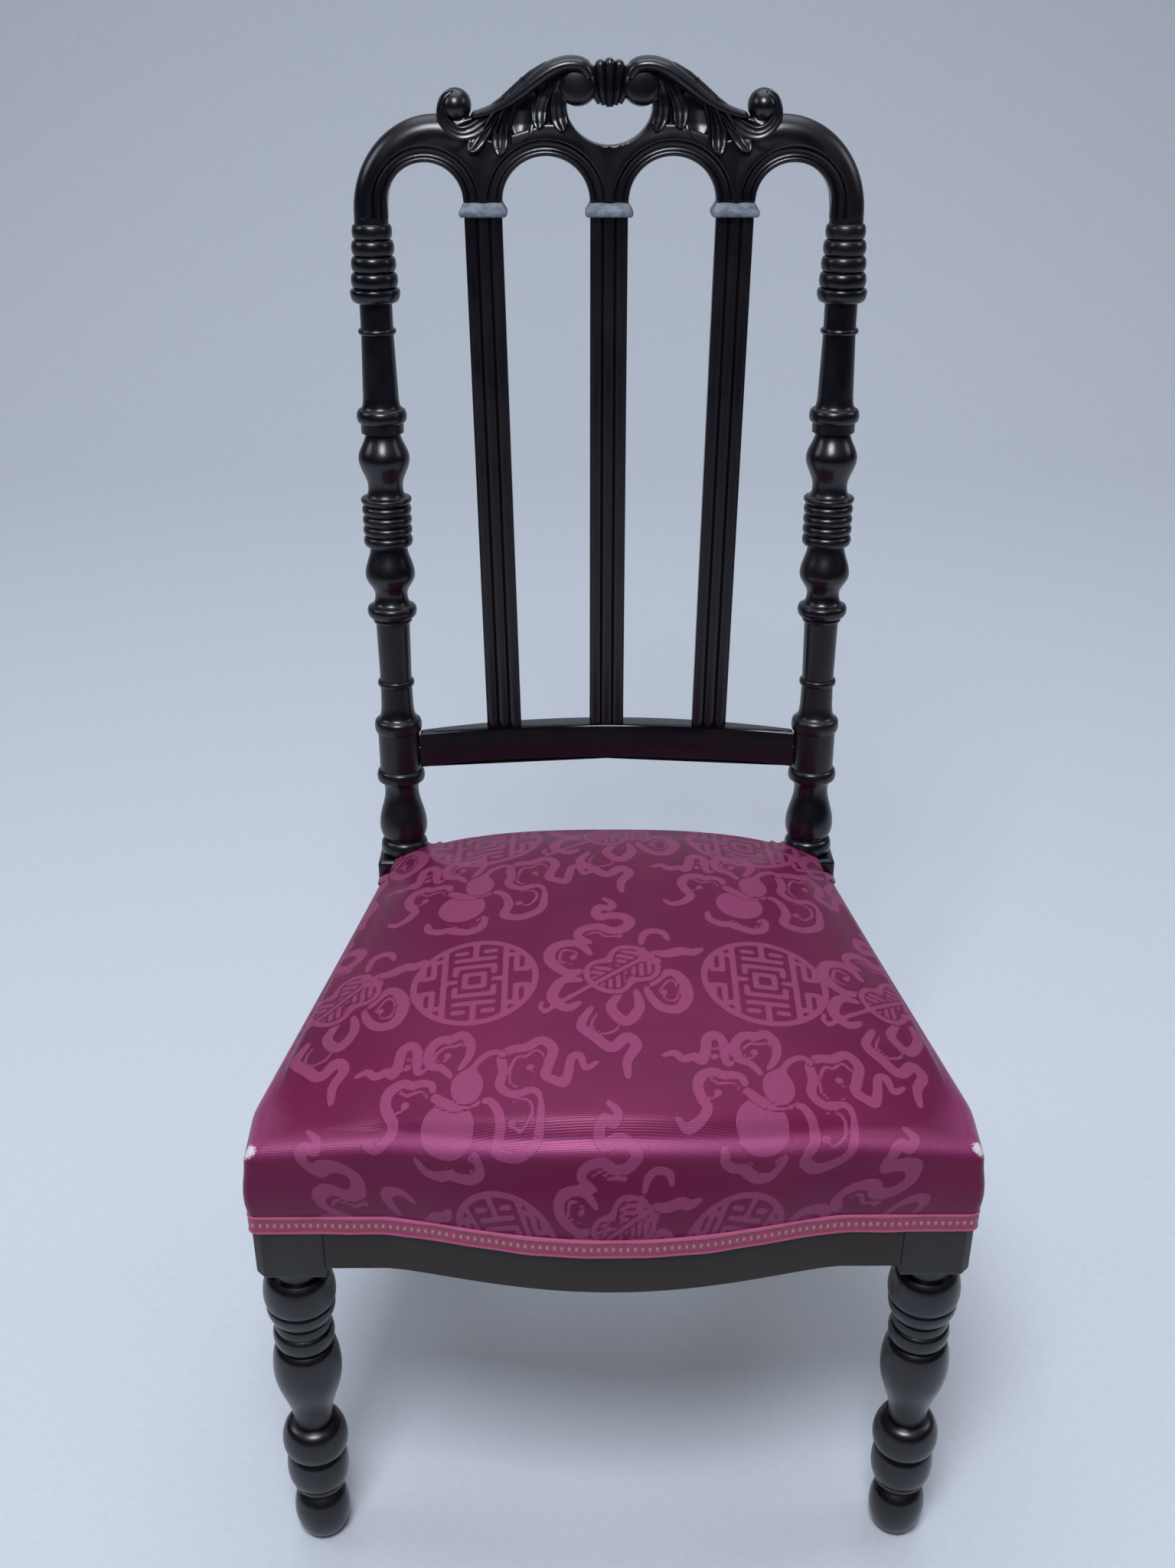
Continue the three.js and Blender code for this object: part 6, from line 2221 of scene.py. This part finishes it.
def gourd_distance(p: Array) -> Array:
    """The signed distance from a gourd: a belly, a lobe blended into its stem, a tie round them and ribbons.

    Args:
        p: points round the gourd's middle.

    Returns:
        A distance for each point.
    """
    stem = Stroke(((13, 36), (16, 42), (20, 48), (26, 52.5), (31, 53), (35, 50)), 4.4, 0.9).distance(p)
    lobe = blend(ellipse_distance(p, (12, 27), (10.5, 13)), stem, 5.0)
    belly = ellipse_distance(p, (0, 0), (17, 17))
    tie = Stroke(((-8, 21), (3, 14), (18, 15)), 7.0, 0.9).distance(p)
    fruit = np.minimum.reduce([
        lobe, np.maximum(tie, GAP - lobe), np.maximum(belly, GAP - np.minimum(tie, lobe))])
    ribbons = strokes_distance(p, [stroke.squashed() for stroke in GOURD])
    return np.minimum(fruit, np.maximum(ribbons, GAP - fruit))


def fan_distance(p: Array) -> Array:
    """The signed distance from a fan: a rimmed leaf filled with bent stripes, a rib, beads and ribbons.

    Args:
        p: points round the fan's middle.

    Returns:
        A distance for each point.
    """
    turn = math.radians(38)
    q = (p - (3, 3)) @ np.array([[math.cos(turn), -math.sin(turn)], [math.sin(turn), math.cos(turn)]])
    leaf = blend(ellipse_distance(q, (-12, 0), (15, 19)), ellipse_distance(q, (11, 0), (16, 21)), 8.0)
    band = np.abs(leaf + 1.9) - 1.9
    stripe = np.abs((0.8 * q[:, 0] + 0.6 * np.abs(q[:, 1])) % 5.4 - 2.7) - 1.6
    filling = np.maximum.reduce([stripe, leaf + 5.4, 3.4 - np.abs(q[:, 1])])
    rib = np.maximum(np.abs(q[:, 1]) - 1.6, np.abs(q[:, 0] + 20) - 48)
    beads = np.minimum.reduce([np.hypot(*(p - at).T) - 3.6 for at in ((17, 23), (18, 14.5), (27, 12))])
    plate = np.minimum.reduce([band, filling, rib, beads])
    return np.minimum(plate, np.maximum(strokes_distance(p, FAN), GAP - np.minimum(leaf, beads)))


def motif_distance(flat: Array) -> Array:
    """The signed distance of places on the flat cloth from the woven figures.

    Medallions and gourds alternate down two columns about 99 mm from the middle, and fans stand between and
    outside them.

    Args:
        flat: places on the cloth in millimetres.

    Returns:
        A distance for each place, negative in a figure and at most 12 mm.
    """
    found = np.full(len(flat), OFF_FIGURES)
    figures = (
        (Medallion().distance, 50, (-93.5, 105.0), MEDALLION_ROWS),
        (gourd_distance, 118, (-106.5, 94.0), GOURD_ROWS),
        (fan_distance, 112, (-188.0, 4.0, 194.0), FAN_ROWS),
    )
    for measure, reach, columns, rows in figures:
        for centre in [(u, v) for v in rows for u in columns]:
            local = flat - centre
            near = np.flatnonzero(np.hypot(*local.T) < reach)
            if len(near):
                found[near] = np.minimum(found[near], measure(local[near]))
    return found


def paint_motifs(made: bpy.types.Object, seat: StuffedSeat) -> None:
    """Stores the figures' signed distance and the edge's painted sheen and wear on the cover's points.

    The painted sheen and wear is a bell curve of the height below the stitched edge, and the fraying falls
    evenly with the distance from each front corner.

    Args:
        made: the cover.
        seat: the seat that it belongs to.
    """
    mesh = made.data
    corners = np.empty(len(mesh.loops), np.int32)
    mesh.loops.foreach_get("vertex_index", corners)
    places = np.empty(len(mesh.loops) * 2, np.float32)
    mesh.uv_layers["cloth"].data.foreach_get("uv", places)
    flat = np.zeros((len(mesh.vertices), 2))
    flat[corners] = places.reshape(-1, 2)
    store(mesh, "motif", motif_distance(flat))
    x, y, z = (points_of(mesh) / MM - (0, SHIFT_Y, 0)).T
    below = seat.ridge(x, y) - z
    side = np.clip((np.abs(x) - 205) / 30, 0, 1)
    front = np.clip((-5 - y) / 20, 0, 1)
    # Painted sheen together with wear: a bell curve just below the stitched edge, at the sides and the front.
    edge = np.exp(-((below - 3) / 5) ** 2) * np.maximum(side, front)
    corner = np.hypot(np.abs(x) - 234, y + 18) + 0.6 * np.abs(below - 4)
    store(mesh, "fray", np.clip(1.1 - corner / 11, 0, 1))
    # Stored as wear: the painted sheen together with fading.
    store(mesh, "wear", 0.9 * edge)


def strip_places(along: Array, across: Array) -> Array:
    """The flat places of a strip's points, row by row, and then of the middles of its two ends.

    Args:
        along: each row's place along the strip.
        across: each point's place across it.

    Returns:
        The places.
    """
    flat = np.stack(np.broadcast_arrays(along[:, None], across), -1).reshape(-1, 2)
    return np.vstack([flat, [(along[0], 0), (along[-1], 0)]])


@dataclass
class Braid:
    """The gimp along the cover's lower edge: a strip with a cord at each side, round the front and sides
    and again across the back."""

    outline: SeatOutline = field(default_factory=SeatOutline)
    bottom: float = 321.0
    width: float = 15.0
    knot_length: float = 2.35
    # The section's corners: up from the middle, and out from the cover.
    section: Line = (
        (-7.5, 0), (-7.5, 1.1), (-7.0, 1.8), (-6.2, 2.0), (-5.4, 1.7), (-4.9, 1.2), (-3, 1.35), (-1.5, 1.5),
        (0, 1.55), (1.5, 1.5), (3, 1.35), (4.9, 1.2), (5.4, 1.7), (6.2, 2.0), (7.0, 1.8), (7.5, 1.1),
        (7.5, 0))

    def strip(self, start: int, end: int) -> Skin:
        """Carries the braid's section along part of the seat's outline.

        Its middle ripples by a sine from knot to knot, and the strip wanders up and down by two slow sines.

        Args:
            start: the number of the outline's first point.
            end: the number of its last.

        Returns:
            The closed skin with the flat places of the braid.
        """
        middle = self.bottom + self.width / 2
        places = np.arange(start, end + 1) % self.outline.count
        lines = [self.outline.loop(-PLAN.fit - out, middle, 0.6 + out)[places] for out in (0, 10)]
        inner, outer = (evenly(line, 4 * len(line)) for line in lines)
        way = outer - inner
        way /= np.linalg.norm(way, axis=1)[:, None]
        along = np.concatenate(([0], np.cumsum(np.linalg.norm(np.diff(inner, axis=0), axis=1))))
        across, out = np.array(self.section).T
        ripple = 0.12 * np.sin(along * 2 * math.pi / self.knot_length)[:, None] * (np.abs(across) < 5)
        depth = np.where(out > 0, out + ripple, 0.0)
        wander = 0.35 * np.sin(along / 17.0) + 0.25 * np.sin(along / 6.3 + 1)
        height = middle + across + wander[:, None] * (np.abs(across) < 7.4)
        skin = tube(np.concatenate([inner[:, None] + way[:, None] * depth[..., None], height[..., None]], -1))
        skin.flat = strip_places(along, across)
        return skin

    def build(self) -> None:
        """Makes both strips."""
        o = self.outline
        side_end = o.front_steps + o.corner_steps + o.side_steps
        rear_start = side_end + 2 * o.notch_steps
        for name, start, end, solid in (
                ("gimp_front", -side_end, side_end, "gimp_braid"),
                ("gimp_back", rear_start, o.count - rear_start, "gimp_braid_back")):
            made = piece(name, self.strip(start, end), BRAID, [solid], 60.0)
            edge = points_of(made.data)[:-2:len(self.section)]


@dataclass
class Underside:
    """Jute webbing that passes over and under, and the hessian over it."""

    low: float = 352.3
    thickness: float = 1.5
    width: float = 50.0
    spacing_across: float = 68.0
    spacing_along: float = 62.0
    first: float = 45.0
    count: int = 4
    inset: float = 6.0
    weave: float = 1.8
    hessian_thickness: float = 0.8

    def strip(
            self, start: float, end: float, crossings: Array, parity: int,
            place: Callable[..., Array]) -> Skin:
        """A strip whose level eases from one side of each crossing to the other.

        Args:
            start: where it begins.
            end: where it ends.
            crossings: where the other strips cross it.
            parity: whether it passes over or under the first.
            place: puts (along, across, height) where they belong.

        Returns:
            The closed skin with the flat places of the cloth.
        """
        along = np.linspace(start, end, 121)
        level = np.zeros_like(along)
        for i, at in enumerate(crossings):
            if (i + parity) % 2:
                share = np.clip((31 - np.abs(along - at)) / 5.5, 0, 1)
                level = np.maximum(level, share * share * (3 - 2 * share))
        upward = np.linspace(-self.width / 2, self.width / 2, 9)
        across = np.concatenate([upward, upward[::-1]])
        up = np.repeat([0, self.thickness], 9)
        up[[0, 8]] += 0.3
        up[[9, 17]] -= 0.3
        height = (self.low + level * self.weave)[:, None] + up
        skin = tube(place(*np.broadcast_arrays(along[:, None], across, height)))
        skin.flat = strip_places(along, across)
        return skin

    def build(self) -> None:
        """Makes the webbing and the hessian."""
        middle = (self.count - 1) / 2
        xs = (np.arange(self.count) - middle) * self.spacing_across
        ys = self.first + np.arange(self.count) * self.spacing_along
        step = PLAN.rebate_depth + self.inset
        for i, x in enumerate(xs):
            start = float(PLAN.front(abs(x) + self.width / 2)) + step
            end = float(PLAN.post_rear(PLAN.rail_top)) - step
            skin = self.strip(start, end, ys, i, lambda y, s, z, x=x: np.stack([x - s, y, z], -1))
            solid = f"webbing_lengthwise_{i + 1}"
            made = piece(f"webbing_along_{i + 1}", skin, WEBBING_JUTE, [solid])
        for i, y in enumerate(ys):
            end = float(PLAN.side(y + self.width / 2)) - step
            skin = self.strip(-end, end, xs, i + 1, lambda x, s, z, y=y: np.stack([x, y + s, z], -1))
            solid = f"webbing_crosswise_{i + 1}"
            made = piece(f"webbing_across_{i + 1}", skin, WEBBING_JUTE, [solid])
        self.hessian()

    def hessian(self) -> None:
        """Makes the hessian: the seat's outline filled by rings that shrink to its middle."""
        loop = SeatOutline().loop(8.2, PLAN.rail_top, 1.3)
        middle = loop.mean(0)
        level = np.full(len(loop), self.low + self.thickness + self.weave + PLAN.fit)
        shares = np.linspace(1.0, 0.04, 14)
        over = np.array([np.column_stack([middle + (loop - middle) * share, level]) for share in shares])
        skin = tube(np.concatenate([over[::-1], over + (0, 0, self.hessian_thickness)]))
        skin.flat = skin.points[:, :2].copy()
        made = piece("hessian_cloth", skin, HESSIAN_JUTE, ["hessian_sheet"])


# Finishes on the solids that stay


@dataclass
class HiddenJoinery:
    """Dowels, corner blocks and screws stay as their solids and get their finishes."""

    finishes: Mapping[str, Finish] = field(default_factory=lambda: {
        "rail_dowel": BARE_BEECH, "corner_block": BARE_BEECH, "block_screw": SCREW_STEEL})

    def build(self) -> None:
        """Puts the finishes on."""
        for name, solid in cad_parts.items():
            for start, finish in self.finishes.items():
                if name.startswith(start):
                    for slot in solid.material_slots:
                        slot.material = finish.material()


# Studio


@dataclass(frozen=True)
class Lamp:
    """A soft square lamp: where it hangs in metres, the square's side, its watts and its colour."""

    name: str
    place: tuple[float, float, float]
    size: float
    power: float
    colour: str

    def hang(self) -> None:
        """Makes the lamp, facing the seat."""
        data = bpy.data.lights.new(self.name, "AREA")
        data.energy, data.size = self.power, self.size
        data.color = linear(self.colour)[:3]
        made = bpy.data.objects.new(self.name, data)
        made.location = self.place
        made.rotation_euler = (Vector((0, 0, 0.5)) - Vector(self.place)).to_track_quat("-Z", "Y").to_euler()
        bpy.context.scene.collection.objects.link(made)


@dataclass
class Studio:
    """The floor, backdrop, lamps and camera. The camera stands where the photograph's stood."""

    location: tuple[float, float, float] = (-0.025, -1.1026, 1.209)
    yaw: float = math.radians(0.47)
    pitch: float = math.radians(31.34)
    roll: float = math.radians(-0.09)
    focal_pixels: float = 2452.0
    image_height: float = 2048.0
    sensor: float = 36.0
    lamps: tuple[Lamp, ...] = (
        Lamp("ceiling_front", (-0.25, -1.3, 2.7), 0.8, 64.0, "#eef3ff"),
        Lamp("window_left", (-2.2, 0.1, 2.0), 0.9, 11.0, "#e8efff"),
        Lamp("window_right", (2.3, 0.3, 1.9), 0.9, 9.0, "#eef2ff"),
        Lamp("backdrop_wash", (0.0, 1.2, 3.4), 2.6, 40.0, "#eef3ff"),
    )

    def camera(self) -> None:
        """Points the camera down at the seat, as the photograph does."""
        cp, sp = math.cos(self.pitch), math.sin(self.pitch)
        cy, sy = math.cos(self.yaw), math.sin(self.yaw)
        forward = np.array([sy * cp, cy * cp, -sp])
        right = np.array([cy, -sy, 0.0])
        down = np.cross(forward, right)
        cr, sr = math.cos(self.roll), math.sin(self.roll)
        across, below = cr * right + sr * down, -sr * right + cr * down
        turn = np.eye(4)
        turn[:3] = np.column_stack([across, -below, -forward, self.location])
        data = bpy.data.cameras.new("camera")
        data.sensor_fit = "AUTO"
        data.sensor_width = self.sensor
        data.lens = self.focal_pixels / self.image_height * self.sensor
        data.clip_start = 0.05
        made = bpy.data.objects.new("camera", data)
        made.matrix_world = Matrix(turn.tolist())
        bpy.context.scene.collection.objects.link(made)
        bpy.context.scene.camera = made

    @staticmethod
    def sweep() -> None:
        """A floor that curves up into a backdrop: straight, a quarter circle and straight again."""
        angle = np.linspace(0, math.pi / 2, 24)
        depth = np.concatenate([[-4000.0], 1900 + 900 * np.sin(angle), [2800.0]])
        height = np.concatenate([[0.0], 900 * (1 - np.cos(angle)), [4500.0]])
        rows = np.array([np.column_stack([np.full(len(depth), x), depth, height]) for x in (-5000.0, 5000.0)])
        faces = grid_faces(2, len(depth), False)[:, ::-1]
        mesh = bpy.data.meshes.new("studio_sweep")
        mesh.from_pydata((rows.reshape(-1, 3) * MM).tolist(), [], faces.tolist())
        mesh.polygons.foreach_set("use_smooth", np.ones(len(mesh.polygons), bool))
        mesh.materials.append(PAPER.material())
        made = bpy.data.objects.new("studio_sweep", mesh)
        bpy.context.scene.collection.objects.link(made)

    @staticmethod
    def air() -> bpy.types.World:
        """Light that grows with height, and an even pale colour where the camera sees past the sweep.

        Returns:
            The world.
        """
        world = bpy.data.worlds.new("studio_air")
        world.use_nodes = True
        world.node_tree.nodes.clear()
        wiring = Wiring(world.node_tree)
        rise = wiring.axes(wiring.add("TexCoord").outputs["Generated"])[2]
        sky = wiring.ramp(rise, (0.0, "#26282c"), (0.45, "#5f6267"), (0.9, "#f2f5fa"))
        lit = wiring.add("Background", {"Color": sky, "Strength": 0.52}).outputs[0]
        seen = wiring.add("Background", {"Color": linear("#bcc6d2"), "Strength": 1.0}).outputs[0]
        ray = wiring.add("LightPath").outputs["Is Camera Ray"]
        both = wiring.add("MixShader", {0: ray, 1: lit, 2: seen}).outputs[0]
        wiring.add("OutputWorld", {"Surface": both})
        return world

    def build(self) -> None:
        """Makes the studio."""
        self.camera()
        self.sweep()
        for lamp in self.lamps:
            lamp.hang()
        scene = bpy.context.scene
        scene.world = self.air()
        scene.view_settings.view_transform = "Standard"


def main() -> None:
    """Builds the chair from the floor up and reports each sub-assembly."""
    logging.basicConfig(level=logging.INFO, format="%(relativeCreated)d %(name)s %(message)s")
    rail = LowerBackRail()
    parts = [
        Studio(), FrontLegs(), BackPosts(), rail, Splats(rail), CrestRail(), SeatRails(), StuffedSeat(),
        Braid(), Underside(), HiddenJoinery(),
    ]
    for part in parts:
        part.build()
        log.info("%s built", type(part).__name__)
    bpy.context.view_layer.update()


if __name__ == "__main__":
    main()
